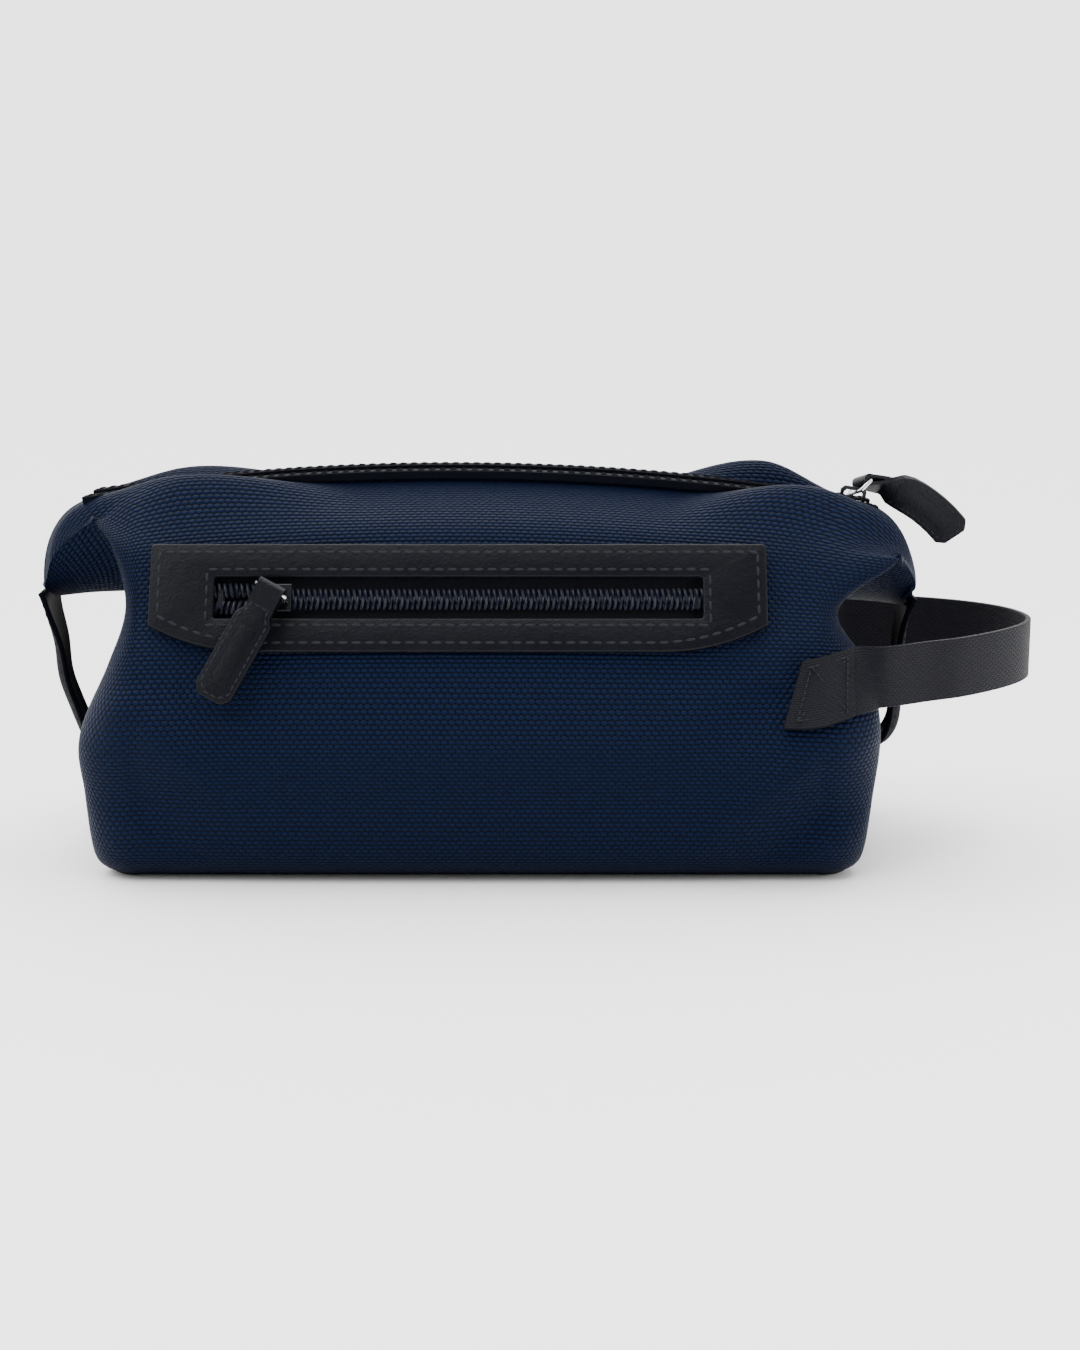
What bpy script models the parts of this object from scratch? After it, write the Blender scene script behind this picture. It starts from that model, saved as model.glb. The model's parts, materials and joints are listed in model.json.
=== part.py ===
"""Shaving kit bag: a soft woven wash bag with a top zip, folded wing ends, a front zip pocket and a
webbing hand loop. Sizes are in millimetres; Blender's own units are metres.

Frame: +X along the bag towards the hand loop, +Y from the pocket side to the back, +Z up. The origin is
the centre of the underside.
"""

import math

import bmesh
import bpy
from mathutils import Matrix, Vector

for old in list(bpy.data.objects):
    bpy.data.objects.remove(old)

MM = 0.001

# Overall sizes of the bag
HALF_LENGTH = 128.0
HALF_DEPTH = 59.0
HEIGHT = 128.0

# Cloth, lining, board and leather
CLOTH = 1.6
LINING = 0.6
BOARD = 1.8
GAP = 0.4
LEATHER = 1.5
WEBBING = 1.8

# Top edge: a long arc that the slider follows, then a short bend down to each wing tip
RIDGE_RADIUS = 850.0
RIDGE_PEAK_X = -10.0
RIDGE_HALF = HALF_LENGTH + 5.0
WING_REACH = 21.0
WING_DROP = 40.0
MOUTH_HALF = 7.4

# Shape of the ends
WAIST_PULL = 11.0
RECESS = 26.0
BOW = 3.5
END_BEND = 17.0

LINING_DEPTH = 6.6

# Where the long panels flex: between these the panels swing open, beyond them they stay with the ends
FLEX_LEFT = 19.0 - HALF_LENGTH
FLEX_GAP = 0.8
FLEX_RIGHT = HALF_LENGTH - 31.0

# Front pocket
POCKET_X = (FLEX_LEFT + FLEX_RIGHT) / 2 - 0.4
POCKET_END_GAP = 3.0
POCKET_LENGTH = FLEX_RIGHT - FLEX_LEFT - 2 * POCKET_END_GAP
POCKET_HEIGHT = 36.5
WINDOW_END = 21.0
WINDOW_LENGTH = POCKET_LENGTH - 2 * WINDOW_END
WINDOW_HEIGHT = 14.0
POCKET_FLAT = 46.0
POCKET_TOP_Y = 32.0
POCKET_TOP_DROP = 16.5
FRAME_LIFT = 1.0

# Zips
COIL_IN = 0.75
COIL_OUT = 3.4
COIL_THICK = 1.8
COIL_TOP = -0.6
TAPE = 0.5
TAPE_OUT = 8.4
SLIDER_LENGTH = 11.5
SLIDER_HALF = 4.7
SLIDER_PLATE = 1.0
BRIDGE_HALF_GAP = 3.2
BRIDGE_RISE = 3.6
TOP_SLIDER_X = HALF_LENGTH - 2.0
POCKET_SLIDER_X = POCKET_X + 19.4 - WINDOW_LENGTH / 2

# Pull rings and leather pulls
RING_HALF = 5.4
RING_REACH = 6.2
RING_WIRE = 1.2
PULL_LENGTH = 40.0
PULL_WIDTH = 13.0
PULL_NECK = 8.6
PULL_NECK_LENGTH = 8.0
PULL_THICK = 2.6
PULL_HOLE = 2.1
POCKET_PULL_LEAN_DEG = 29.0
POCKET_PULL_DIP_DEG = 9.0
TOP_PULL_YAW_DEG = 36.0
TOP_RING_PITCH_DEG = -44.0
TOP_PULL_DIP_DEG = 46.0
TOP_PULL_ROLL_DEG = -25.0

# Webbing hand loop
STRAP_WIDTH = 20.0
STRAP_Z = 66.5
STRAP_FLEX_X = HALF_LENGTH + 12.0
# Out past the half length, and in from half the depth at the front and at the back
STRAP_ROUTE = [
    (HALF_LENGTH + out, y) for out, y in (
        (-23.0, 6.0 - HALF_DEPTH), (-15.0, 6.0 - HALF_DEPTH), (-7.0, 6.5 - HALF_DEPTH), (0.0, 8.0 - HALF_DEPTH),
        (7.0, 11.0 - HALF_DEPTH), (19.0, 18.5 - HALF_DEPTH), (32.0, 26.0 - HALF_DEPTH), (47.0, 39.0 - HALF_DEPTH),
        (58.0, 53.0 - HALF_DEPTH), (62.5, HALF_DEPTH - 51.0), (59.5, HALF_DEPTH - 35.0),
        (50.0, HALF_DEPTH - 22.0), (36.0, HALF_DEPTH - 12.5), (21.0, HALF_DEPTH - 7.0), (7.0, HALF_DEPTH - 4.5),
        (0.0, HALF_DEPTH - 5.0), (-7.0, HALF_DEPTH - 5.5), (-15.0, HALF_DEPTH - 6.0), (-23.0, HALF_DEPTH - 6.0),
    )
]

# Leather tabs that tie each wing tip to the end of the bag
TAB_WIDTH = 26.0
TAB_ROUTE = [(20.6, 82.5), (19.0, 68.0), (16.6, 52.0), (12.0, 40.0), (6.4, 31.0), (4.6, 21.0)]
PATCH_LOW = 17.0
PATCH_HIGH = 37.0


def ease(t):
    t = min(1.0, max(0.0, t))
    return t * t * (3.0 - 2.0 * t)


def mix(a, b, t):
    return a + (b - a) * t


def spline(points, t):
    """A smooth curve through the points, t from 0 to 1 along them."""
    last = len(points) - 1
    place = min(max(t, 0.0), 1.0) * last
    i = min(int(place), last - 1)
    f = place - i
    p1, p2 = Vector(points[i]), Vector(points[i + 1])
    p0 = Vector(points[i - 1]) if i > 0 else p1 * 2 - p2
    p3 = Vector(points[i + 2]) if i + 2 <= last else p2 * 2 - p1
    slope_in, slope_out = (p2 - p0) / 2, (p3 - p1) / 2
    return (
        p1 * (2 * f**3 - 3 * f**2 + 1)
        + slope_in * (f**3 - 2 * f**2 + f)
        + p2 * (3 * f**2 - 2 * f**3)
        + slope_out * (f**3 - f**2)
    )


def bezier(p0, p1, p2, p3, t):
    r = 1.0 - t
    return p0 * r**3 + p1 * 3 * r * r * t + p2 * 3 * r * t * t + p3 * t**3


# --- The long panels' surface -------------------------------------------------------------------------

POCKET_TOP = Vector((POCKET_TOP_Y, HEIGHT - POCKET_TOP_DROP))
TILT = math.asin((HALF_DEPTH - 6.5 - POCKET_TOP_Y) / POCKET_FLAT)
POCKET_LOW = POCKET_TOP + Vector((math.sin(TILT), -math.cos(TILT))) * POCKET_FLAT
POCKET_MID = (POCKET_TOP + POCKET_LOW) / 2
FOOT_Z = 0.6
SECTION = [
    (HALF_DEPTH - 10.0, FOOT_Z),
    (HALF_DEPTH - 2.5, 7.0),
    (HALF_DEPTH, 0.5 * POCKET_LOW.y - 7.0),
    (HALF_DEPTH, 0.5 * POCKET_LOW.y + 12.0),
    tuple(POCKET_LOW),
    tuple(POCKET_MID),
    tuple(POCKET_TOP),
    (18.5, HEIGHT - 5.6),
    (MOUTH_HALF, HEIGHT),
]
EDGE_X = [-5.0, -1.5, 0.5, 2.0, -6.5, -WAIST_PULL, 0.0, 1.0, 0.0]
EDGE_IN = [11.0, 11.0, 11.0, 11.0, 12.0, 9.0, 4.0, 0.0, 0.0]
APEX_V = 6.3 / 8.0


def ridge_z(x):
    """Height of the top edge on its long arc."""
    return HEIGHT - RIDGE_RADIUS + math.sqrt(RIDGE_RADIUS**2 - (x - RIDGE_PEAK_X) ** 2)


def tip(side):
    return Vector((side * (HALF_LENGTH + WING_REACH), 0.0, HEIGHT - WING_DROP))


def ridge_point(side, t):
    """The top edge from the middle of the bag (t 0) to the wing tip on that side (t 1)."""
    bend = 0.8
    if t <= bend:
        x = side * RIDGE_HALF * t / bend
        return Vector((x, 0.0, ridge_z(x)))
    end = tip(side)
    start = Vector((side * RIDGE_HALF, 0.0, ridge_z(side * RIDGE_HALF)))
    fall = start.z - end.z
    return bezier(
        start,
        start + Vector((side * 0.55 * (abs(end.x) - RIDGE_HALF), 0.0, -0.1 * fall)),
        end + Vector((side * 0.5, 0.0, 0.6 * fall)),
        end,
        (t - bend) / (1 - bend),
    )


def section_point(x, v):
    """A point of the front panel's outer face, away from its ends, with y counted towards the front."""
    y, z = spline(SECTION, v)
    sag = (HEIGHT - ridge_z(x)) * ease((z - 0.4 * HEIGHT) / (0.6 * HEIGHT))
    bow = BOW * math.sin(math.pi * min(1.0, v / 0.5)) * (1 - (x / HALF_LENGTH) ** 2)
    return Vector((x, y + bow, z - sag))


def end_point(side, v):
    """The panel's end edge: up the arch to its apex, then out along the wing's lower edge to the tip."""
    if v <= APEX_V:
        dx = spline([(e, 0) for e in EDGE_X], v).x
        inset = spline([(e, 0) for e in EDGE_IN], v).x
        p = section_point(side * (HALF_LENGTH + dx), v)
        return Vector((p.x, p.y - inset, p.z))
    apex = end_point(side, APEX_V)
    end = tip(side) + Vector((0.0, MOUTH_HALF, 0.0))
    s = (v - APEX_V) / (1 - APEX_V)
    p = apex.lerp(end, s)
    return p + Vector((side * 3.0 * math.sin(math.pi * s), 0.0, 0.0))


def panel_point(side, reach, v):
    """The panel from the middle (reach 0) to the end edge on that side (reach 1)."""
    t = ease((v - APEX_V) / (1 - APEX_V))
    straight_to = mix(abs(side) * (HALF_LENGTH - END_BEND), RIDGE_HALF, t)
    bend = 0.8
    if v >= 1.0:
        p = ridge_point(side, reach)
        return Vector((p.x, MOUTH_HALF, p.z))
    if reach <= bend:
        return section_point(side * straight_to * reach / bend, v)
    start = section_point(side * straight_to, v)
    end = end_point(side, v)
    span = abs(end.x - start.x)
    pull = Vector((-side * 0.5, -5.0, 0.0)).lerp(Vector((side * 0.5, 0.0, 14.0)), t)
    pull = Vector((pull.x, -pull.y if v < APEX_V else 0.0, pull.z))
    along = Vector((side * 0.6 * span, 0.0, -0.08 * span))
    return bezier(start, start + along, end + pull, end, (reach - bend) / (1 - bend))


def world(p, face):
    """A panel point, with y counted outwards, put on the front (face -1) or the back (face 1)."""
    return Vector((p.x, face * p.y, p.z)) * MM


# --- Making objects -----------------------------------------------------------------------------------


def finish_named(name, colour, roughness, metallic):
    material = bpy.data.materials.get(name) or bpy.data.materials.new(name)
    material.use_nodes = True
    shader = material.node_tree.nodes["Principled BSDF"]
    shader.inputs["Base Color"].default_value = (*colour, 1.0)
    shader.inputs["Roughness"].default_value = roughness
    shader.inputs["Metallic"].default_value = metallic
    return material


NAVY_CLOTH = finish_named("navy_cloth", (0.012, 0.022, 0.065), 0.85, 0.0)
BLACK_LEATHER = finish_named("black_leather", (0.012, 0.014, 0.02), 0.42, 0.0)
BLACK_WEBBING = finish_named("black_webbing", (0.014, 0.014, 0.022), 0.7, 0.0)
BLACK_TAPE = finish_named("zip_tape", (0.008, 0.009, 0.015), 0.8, 0.0)
ZIP_COIL = finish_named("zip_coil", (0.01, 0.013, 0.03), 0.4, 0.0)
NICKEL = finish_named("nickel", (0.5, 0.5, 0.52), 0.3, 1.0)
BLACK_METAL = finish_named("black_metal", (0.02, 0.02, 0.024), 0.35, 1.0)
GREY_LINING = finish_named("lining_cloth", (0.05, 0.052, 0.06), 0.8, 0.0)
GREY_BOARD = finish_named("board", (0.12, 0.11, 0.1), 0.8, 0.0)


def object_from(name, bm, finish, parent=None):
    mesh = bpy.data.meshes.new(name)
    bmesh.ops.recalc_face_normals(bm, faces=bm.faces)
    bm.to_mesh(mesh)
    bm.free()
    mesh.materials.append(finish)
    made = bpy.data.objects.new(name, mesh)
    made.parent = parent
    bpy.context.scene.collection.objects.link(made)
    return made


def helper(made):
    """Marks an object that only cuts or joins another."""
    made.hide_render = True
    made.display_type = "WIRE"
    return made


def join_solids(made, other, operation):
    change = made.modifiers.new(operation.lower(), "BOOLEAN")
    change.operation = operation
    change.solver = "EXACT"
    change.object = helper(other)


def sheet_object(name, place, columns, rows, thickness, finish, flip=False):
    """A sheet with one side on place(s, t), s and t from 0 to 1, and its thickness behind that side."""
    bm = bmesh.new()
    bmesh.ops.create_grid(bm, x_segments=columns, y_segments=rows, size=0.5)
    for vert in bm.verts:
        vert.co = place(vert.co.x + 0.5, vert.co.y + 0.5)
    if flip:
        bmesh.ops.reverse_faces(bm, faces=bm.faces)
    mesh = bpy.data.meshes.new(name)
    bm.to_mesh(mesh)
    bm.free()
    mesh.materials.append(finish)
    made = bpy.data.objects.new(name, mesh)
    bpy.context.scene.collection.objects.link(made)
    thick = made.modifiers.new("thickness", "SOLIDIFY")
    thick.thickness = thickness * MM
    thick.offset = -1.0
    thick.use_even_offset = True
    mesh.shade_smooth()
    return made


def block(name, low, high, round_off, finish, parent=None, segments=2):
    """A box between two corners with its edges rounded."""
    bm = bmesh.new()
    bmesh.ops.create_cube(bm, size=1.0)
    low, high = Vector(low), Vector(high)
    for vert in bm.verts:
        vert.co = Vector([mix(low[i], high[i], vert.co[i] + 0.5) for i in range(3)]) * MM
    if round_off > 0:
        bmesh.ops.bevel(
            bm,
            geom=bm.edges[:],
            offset=round_off * MM,
            segments=segments,
            profile=0.5,
            affect="EDGES",
            clamp_overlap=True,
            material=-1,
        )
    return object_from(name, bm, finish, parent)


def plate(name, outline, low_y, high_y, finish, parent=None):
    """A flat plate with its outline in X and Z, between two values of Y."""
    bm = bmesh.new()
    ring = [bm.verts.new((x * MM, low_y * MM, z * MM)) for x, z in outline]
    face = bm.faces.new(ring)
    grown = bmesh.ops.extrude_face_region(bm, geom=[face])
    moved = [g for g in grown["geom"] if isinstance(g, bmesh.types.BMVert)]
    bmesh.ops.translate(bm, verts=moved, vec=(0, (high_y - low_y) * MM, 0))
    return object_from(name, bm, finish, parent)


def empty_at(name, location, rotation=(0.0, 0.0, 0.0), parent=None):
    made = bpy.data.objects.new(name, None)
    made.location = Vector(location) * MM
    made.rotation_euler = rotation
    made.parent = parent
    bpy.context.scene.collection.objects.link(made)
    return made


# --- Cloth panels, linings and base -------------------------------------------------------------------


def panel_piece(name, face, x_from, x_to, columns, rows, depth=0.0, thickness=CLOTH, finish=NAVY_CLOTH,
                v_low=0.0, v_high=1.0):
    """A stretch of a long panel that stays on its straight part, between two places along the bag."""

    def place(s, t):
        v = mix(v_low, v_high, t)
        p = section_point(mix(x_from, x_to, s), v)
        step = section_point(p.x, min(1.0, v + 0.01)) - section_point(p.x, max(0.0, v - 0.01))
        inward = Vector((0.0, -step.z, step.y)).normalized()
        return world(p + inward * depth, face)

    return sheet_object(name, place, columns, rows, thickness, finish, flip=face > 0)


def panel_end(name, face, side, x_from):
    """The end of a long panel, from its flex line round to the arch and out along the wing."""

    def place(s, t):
        v = t
        straight = mix(HALF_LENGTH - END_BEND, RIDGE_HALF, ease((v - APEX_V) / (1 - APEX_V)))
        first = 0.8 * abs(x_from) / straight
        return world(panel_point(side, mix(first, 1.0, s), v), face)

    return sheet_object(name, place, 10, 18, CLOTH, NAVY_CLOTH, flip=(face > 0) != (side < 0))


for face, word in ((-1, "front"), (1, "back")):
    panel_piece(f"{word}_panel", face, FLEX_LEFT, FLEX_RIGHT, 8, 18)
    panel_piece(
        f"{word}_lining", face, FLEX_LEFT + 2, FLEX_RIGHT - 2, 4, 14,
        depth=LINING_DEPTH, thickness=LINING, finish=GREY_LINING, v_low=0.12, v_high=0.9,
    )
    panel_end(f"{word}_panel_left_end", face, -1, FLEX_LEFT - FLEX_GAP)
    panel_end(f"{word}_panel_right_end", face, 1, FLEX_RIGHT + FLEX_GAP)


def slab(name, half_x, half_y, corner, low_z, high_z, finish):
    """A flat board with rounded corners."""
    bm = bmesh.new()
    bmesh.ops.create_cube(bm, size=1.0)
    for vert in bm.verts:
        z = high_z if vert.co.z > 0 else low_z
        vert.co = Vector((2 * half_x * vert.co.x, 2 * half_y * vert.co.y, z)) * MM
    upright = [e for e in bm.edges if abs(e.verts[0].co.z - e.verts[1].co.z) > 0.5 * (high_z - low_z) * MM]
    bmesh.ops.bevel(
        bm, geom=upright, offset=corner * MM, segments=5, profile=0.5, affect="EDGES", material=-1
    )
    return object_from(name, bm, finish)


FOOT_Y = HALF_DEPTH - 10.0
BASE_HALF_X = HALF_LENGTH - 12.0
slab("bottom_panel", BASE_HALF_X, FOOT_Y - 2 * GAP, 14.0, 0.0, CLOTH, NAVY_CLOTH)
slab("base_board", BASE_HALF_X - 5.0, FOOT_Y - 5.0, 12.0, CLOTH + GAP, CLOTH + GAP + BOARD, GREY_BOARD)

# The end gusset's middle line from the base to under the wing tip: out past the half length, up, half width
TIP_Z = HEIGHT - WING_DROP
GUSSET_LINE = [
    (-8.5, CLOTH, FOOT_Y - 15.0),
    (-2.5, 0.1 * HEIGHT, FOOT_Y - 9.0),
    (0.5, 0.23 * HEIGHT, FOOT_Y - 4.0),
    (-1.0, 0.37 * HEIGHT, FOOT_Y - 4.0),
    (-10.0, 0.5 * HEIGHT, FOOT_Y - 11.0),
    (-0.8 * RECESS, TIP_Z - 8.5, FOOT_Y - 14.0),
    (-RECESS, TIP_Z - 3.0, FOOT_Y - 17.0),
    (-0.7 * RECESS, TIP_Z - 1.5, FOOT_Y - 22.0),
    (0.0, TIP_Z - 1.5, FOOT_Y - 30.0),
    (WING_REACH - 3.0, TIP_Z - 1.5, 5.0),
]


def gusset(name, side):
    def place(s, t):
        line = spline([(out, up, 0.0) for out, up, _ in GUSSET_LINE], t)
        half = spline([(width, 0.0) for _, _, width in GUSSET_LINE], t).x
        return Vector((side * (HALF_LENGTH + line.x), mix(-half, half, s), line.y)) * MM

    sheet_object(name, place, 6, 22, CLOTH, NAVY_CLOTH, flip=side < 0)


gusset("left_gusset", -1)
gusset("right_gusset", 1)


# --- Leather tabs at the ends -------------------------------------------------------------------------


def wing_tab(name, side):
    def place(s, t):
        line = spline([(out, up * HEIGHT / 128.0) for out, up in TAB_ROUTE], t)
        half = TAB_WIDTH / 2
        return Vector((side * (HALF_LENGTH + line.x), mix(-half, half, s), line.y)) * MM

    sheet_object(name, place, 2, 14, LEATHER, BLACK_LEATHER, flip=side > 0)


for side, word in ((-1, "left"), (1, "right")):
    wing_tab(f"{word}_wing_tab", side)
    inner, outer = HALF_LENGTH + 1.0, HALF_LENGTH + 2.2
    block(
        f"{word}_tab_patch", (min(side * inner, side * outer), -TAB_WIDTH / 2, PATCH_LOW),
        (max(side * inner, side * outer), TAB_WIDTH / 2, PATCH_HIGH), 0.4, BLACK_LEATHER, segments=1,
    )


# --- Top zip: strips swept along the top edge ---------------------------------------------------------


def ridge_stations(side, reach_from, reach_to, count):
    """Points on the top edge and the direction away from the bag at each."""
    found = []
    for i in range(count + 1):
        reach = mix(reach_from, reach_to, i / count)
        p = ridge_point(side, reach)
        step = ridge_point(side, min(1.0, reach + 0.002)) - ridge_point(side, max(0.0, reach - 0.002))
        found.append((p, Vector((-side * step.z, 0.0, side * step.x)).normalized()))
    return found


def arc_stations(x_from, x_to, count):
    found = []
    for i in range(count + 1):
        x = mix(x_from, x_to, i / count)
        away = Vector((x - RIDGE_PEAK_X, 0.0, ridge_z(x) - HEIGHT + RIDGE_RADIUS)).normalized()
        found.append((Vector((x, 0.0, ridge_z(x))), away))
    return found


def swept(name, face, outline, stations, finish):
    """An outline of (out from the middle, up from the cloth) carried along the top edge."""
    bm = bmesh.new()
    loops = []
    for p, away in stations:
        ring = [bm.verts.new((p + away * up + Vector((0.0, face * out, 0.0))) * MM) for out, up in outline]
        loops.append([bm.edges.new((ring[i - 1], ring[i])) for i in range(len(ring))])
        if p in (stations[0][0], stations[-1][0]):
            bm.faces.new(ring)
    for here, there in zip(loops, loops[1:]):
        bmesh.ops.bridge_loops(bm, edges=here + there)
    return object_from(name, bm, finish)


def strip(low_out, high_out, low_up, high_up):
    return [(low_out, low_up), (high_out, low_up), (high_out, high_up), (low_out, high_up)]


TAPE_TOP = COIL_TOP - COIL_THICK - 0.2
TRIM_IN = SLIDER_HALF + 1.3
COIL_STRIP = strip(COIL_IN, COIL_OUT, COIL_TOP - COIL_THICK, COIL_TOP)
TAPE_STRIP = strip(COIL_IN, TAPE_OUT, TAPE_TOP - TAPE, TAPE_TOP)
TRIM_STRIP = strip(TRIM_IN, TRIM_IN + 7.0, GAP, GAP + 1.2)
END_STRIP = [
    (COIL_IN, TAPE_TOP - TAPE), (TAPE_OUT, TAPE_TOP - TAPE), (TAPE_OUT, TAPE_TOP), (COIL_OUT, TAPE_TOP),
    (COIL_OUT, COIL_TOP), (COIL_IN, COIL_TOP),
]
for face, word in ((-1, "front"), (1, "back")):
    moving = arc_stations(FLEX_LEFT, FLEX_RIGHT, 16)
    swept(f"{word}_top_coil", face, COIL_STRIP, moving, ZIP_COIL)
    swept(f"{word}_top_tape", face, TAPE_STRIP, moving, BLACK_TAPE)
    swept(f"{word}_top_trim", face, TRIM_STRIP, moving, BLACK_LEATHER)
    for side, end, flex in ((-1, "left", FLEX_LEFT - FLEX_GAP), (1, "right", FLEX_RIGHT + FLEX_GAP)):
        first = 0.8 * abs(flex) / RIDGE_HALF
        swept(f"{word}_zip_{end}_end", face, END_STRIP, ridge_stations(side, first, 0.955, 12), BLACK_TAPE)
        swept(f"{word}_trim_{end}_end", face, TRIM_STRIP, ridge_stations(side, first, 0.955, 12), BLACK_LEATHER)
for side, word in ((-1, "left"), (1, "right")):
    stop = [(-COIL_OUT, TAPE_TOP), (COIL_OUT, TAPE_TOP), (COIL_OUT, GAP), (-COIL_OUT, GAP)]
    swept(f"{word}_zip_stop", 1, stop, ridge_stations(side, 0.965, 0.99, 2), NICKEL)


# --- Sliders, rings and leather pulls -----------------------------------------------------------------


def slider(name, parent, finish):
    """A zip slider in its own frame: +X along the zip, +Z away from the bag, its post between the coils."""
    half = SLIDER_LENGTH / 2
    plate_low = COIL_TOP + 0.35
    under = TAPE_TOP - TAPE - 0.35
    top = block(name, (-half, -SLIDER_HALF, plate_low), (half, SLIDER_HALF, plate_low + SLIDER_PLATE), 0.45,
                finish, parent)
    low = block(f"{name}_under", (-half, -SLIDER_HALF, under - SLIDER_PLATE), (half, SLIDER_HALF, under), 0.4,
                finish, parent, 1)
    wedge = COIL_IN - 0.3
    post = block(f"{name}_post", (half - 3.0, -wedge, under - 0.5), (half - 1.0, wedge, plate_low + 0.5), 0.0,
                 finish, parent)
    foot = plate_low + SLIDER_PLATE - 0.4
    inner, outer = BRIDGE_HALF_GAP, BRIDGE_HALF_GAP + 1.2
    rise = foot + 0.4 + BRIDGE_RISE
    arch = [
        (-outer, foot), (-inner, foot), (-inner, rise - 0.8), (-inner + 0.8, rise), (inner - 0.8, rise),
        (inner, rise - 0.8), (inner, foot), (outer, foot), (outer, rise), (outer - 1.2, rise + 1.2),
        (-outer + 1.2, rise + 1.2), (-outer, rise),
    ]
    bridge = plate(f"{name}_bridge", arch, -0.7, 0.7, finish, parent)
    for piece in (post, low, bridge):
        join_solids(top, piece, "UNION")
    return top


RING_LIFT = COIL_TOP + 0.35 + SLIDER_PLATE + 0.7 * BRIDGE_RISE


def ring(name, parent, finish):
    """A wire loop in its own frame: near bar on Y at the origin, far bar RING_REACH along +X."""
    outline = bpy.data.curves.new(name, "CURVE")
    outline.dimensions = "3D"
    outline.bevel_depth = RING_WIRE / 2 * MM
    outline.bevel_resolution = 2
    line = outline.splines.new("POLY")
    points = []
    corner = 1.4
    for cx, cy, start in (
        (RING_REACH - corner, RING_HALF - corner, 0), (corner, RING_HALF - corner, 90),
        (corner, corner - RING_HALF, 180), (RING_REACH - corner, corner - RING_HALF, 270),
    ):
        for turn in (0, 30, 60, 90):
            a = math.radians(start + turn)
            points.append((cx + corner * math.cos(a), cy + corner * math.sin(a)))
    line.points.add(len(points) - 1)
    for point, (x, y) in zip(line.points, points):
        point.co = (x * MM, y * MM, 0.0, 1.0)
    line.use_cyclic_u = True
    outline.materials.append(finish)
    made = bpy.data.objects.new(name, outline)
    made.parent = parent
    bpy.context.scene.collection.objects.link(made)
    return made


def leather_pull(name, parent):
    """A stitched two-layer tag in its own frame: its tunnel on Y at the origin, its length along +X."""
    start = -PULL_HOLE / 2 - 1.1
    half, neck = PULL_WIDTH / 2, PULL_NECK / 2
    shoulder = PULL_NECK_LENGTH
    tail = PULL_LENGTH + start
    outline = [
        (start, -neck), (shoulder - 2.0, -neck), (shoulder, -half), (tail - 2.5, -half), (tail, -half + 2.5),
        (tail, half - 2.5), (tail - 2.5, half), (shoulder, half), (shoulder - 2.0, neck), (start, neck),
    ]
    made = plate(name, outline, -PULL_THICK / 2, PULL_THICK / 2, BLACK_LEATHER, parent)
    made.data.transform(Matrix.Rotation(math.radians(-90), 4, "X"))
    head = block(f"{name}_head", (start, -neck + 0.01, -PULL_THICK / 2 - 0.5),
                 (-start, neck - 0.01, PULL_THICK / 2 + 0.5), 0.9, BLACK_LEATHER, parent)
    join_solids(made, head, "UNION")
    bm = bmesh.new()
    bmesh.ops.create_cone(
        bm, cap_ends=True, segments=16, radius1=PULL_HOLE / 2 * MM, radius2=PULL_HOLE / 2 * MM,
        depth=(PULL_NECK + 4.0) * MM, matrix=Matrix.Rotation(math.radians(90), 4, "X"),
    )
    tunnel = object_from(f"{name}_tunnel", bm, BLACK_LEATHER, parent)
    join_solids(made, tunnel, "DIFFERENCE")
    return made


def turned(yaw, pitch, roll):
    turn = Matrix.Rotation(math.radians(yaw), 3, "Z") @ Matrix.Rotation(math.radians(pitch), 3, "Y")
    return (turn @ Matrix.Rotation(math.radians(roll), 3, "X")).to_euler()


RIDGE_CENTRE = (RIDGE_PEAK_X, 0.0, HEIGHT - RIDGE_RADIUS)
top_slider_turn = math.asin((TOP_SLIDER_X - RIDGE_PEAK_X) / RIDGE_RADIUS)
ridge_axis = empty_at("ridge_axis", RIDGE_CENTRE, (0.0, top_slider_turn, 0.0))
top_seat = empty_at("top_slider_seat", (0.0, 0.0, RIDGE_RADIUS), parent=ridge_axis)
slider("top_slider", top_seat, BLACK_METAL)
top_ring_axis = empty_at(
    "top_ring_axis", (0.0, 0.0, RING_LIFT), turned(TOP_PULL_YAW_DEG, TOP_RING_PITCH_DEG, TOP_PULL_ROLL_DEG),
    top_seat,
)
ring("top_ring", top_ring_axis, NICKEL)
top_pull_axis = empty_at(
    "top_pull_axis", (RING_REACH, 0.0, 0.0), turned(0.0, TOP_PULL_DIP_DEG, 0.0), top_ring_axis
)
leather_pull("top_pull", top_pull_axis)


# --- Front pocket: everything lies on the flat part of the front panel --------------------------------

pocket_plane = empty_at(
    "pocket_plane", (POCKET_X, -POCKET_MID.x, POCKET_MID.y), (math.radians(90) - TILT, 0.0, 0.0)
)
half_x, half_y = POCKET_LENGTH / 2, POCKET_HEIGHT / 2
frame_piece = block("pocket_frame", (-half_x, -half_y, FRAME_LIFT), (half_x, half_y, FRAME_LIFT + LEATHER), 0.5,
                    BLACK_LEATHER, pocket_plane, 1)
window = block("pocket_window", (-WINDOW_LENGTH / 2, -WINDOW_HEIGHT / 2, -5.0),
               (WINDOW_LENGTH / 2, WINDOW_HEIGHT / 2, 5.0), 0.0, BLACK_LEATHER, pocket_plane)
join_solids(frame_piece, window, "DIFFERENCE")
CUT_MARGIN = 5.0
cut_x, cut_y = WINDOW_LENGTH / 2 + CUT_MARGIN, WINDOW_HEIGHT / 2 + CUT_MARGIN
panel_cut = block("pocket_panel_cut", (-cut_x, -cut_y, -6.0), (cut_x, cut_y, 3.0), 0.0, NAVY_CLOTH, pocket_plane)
cut_front = bpy.data.objects["front_panel"]
join_solids(cut_front, panel_cut, "DIFFERENCE")

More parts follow.
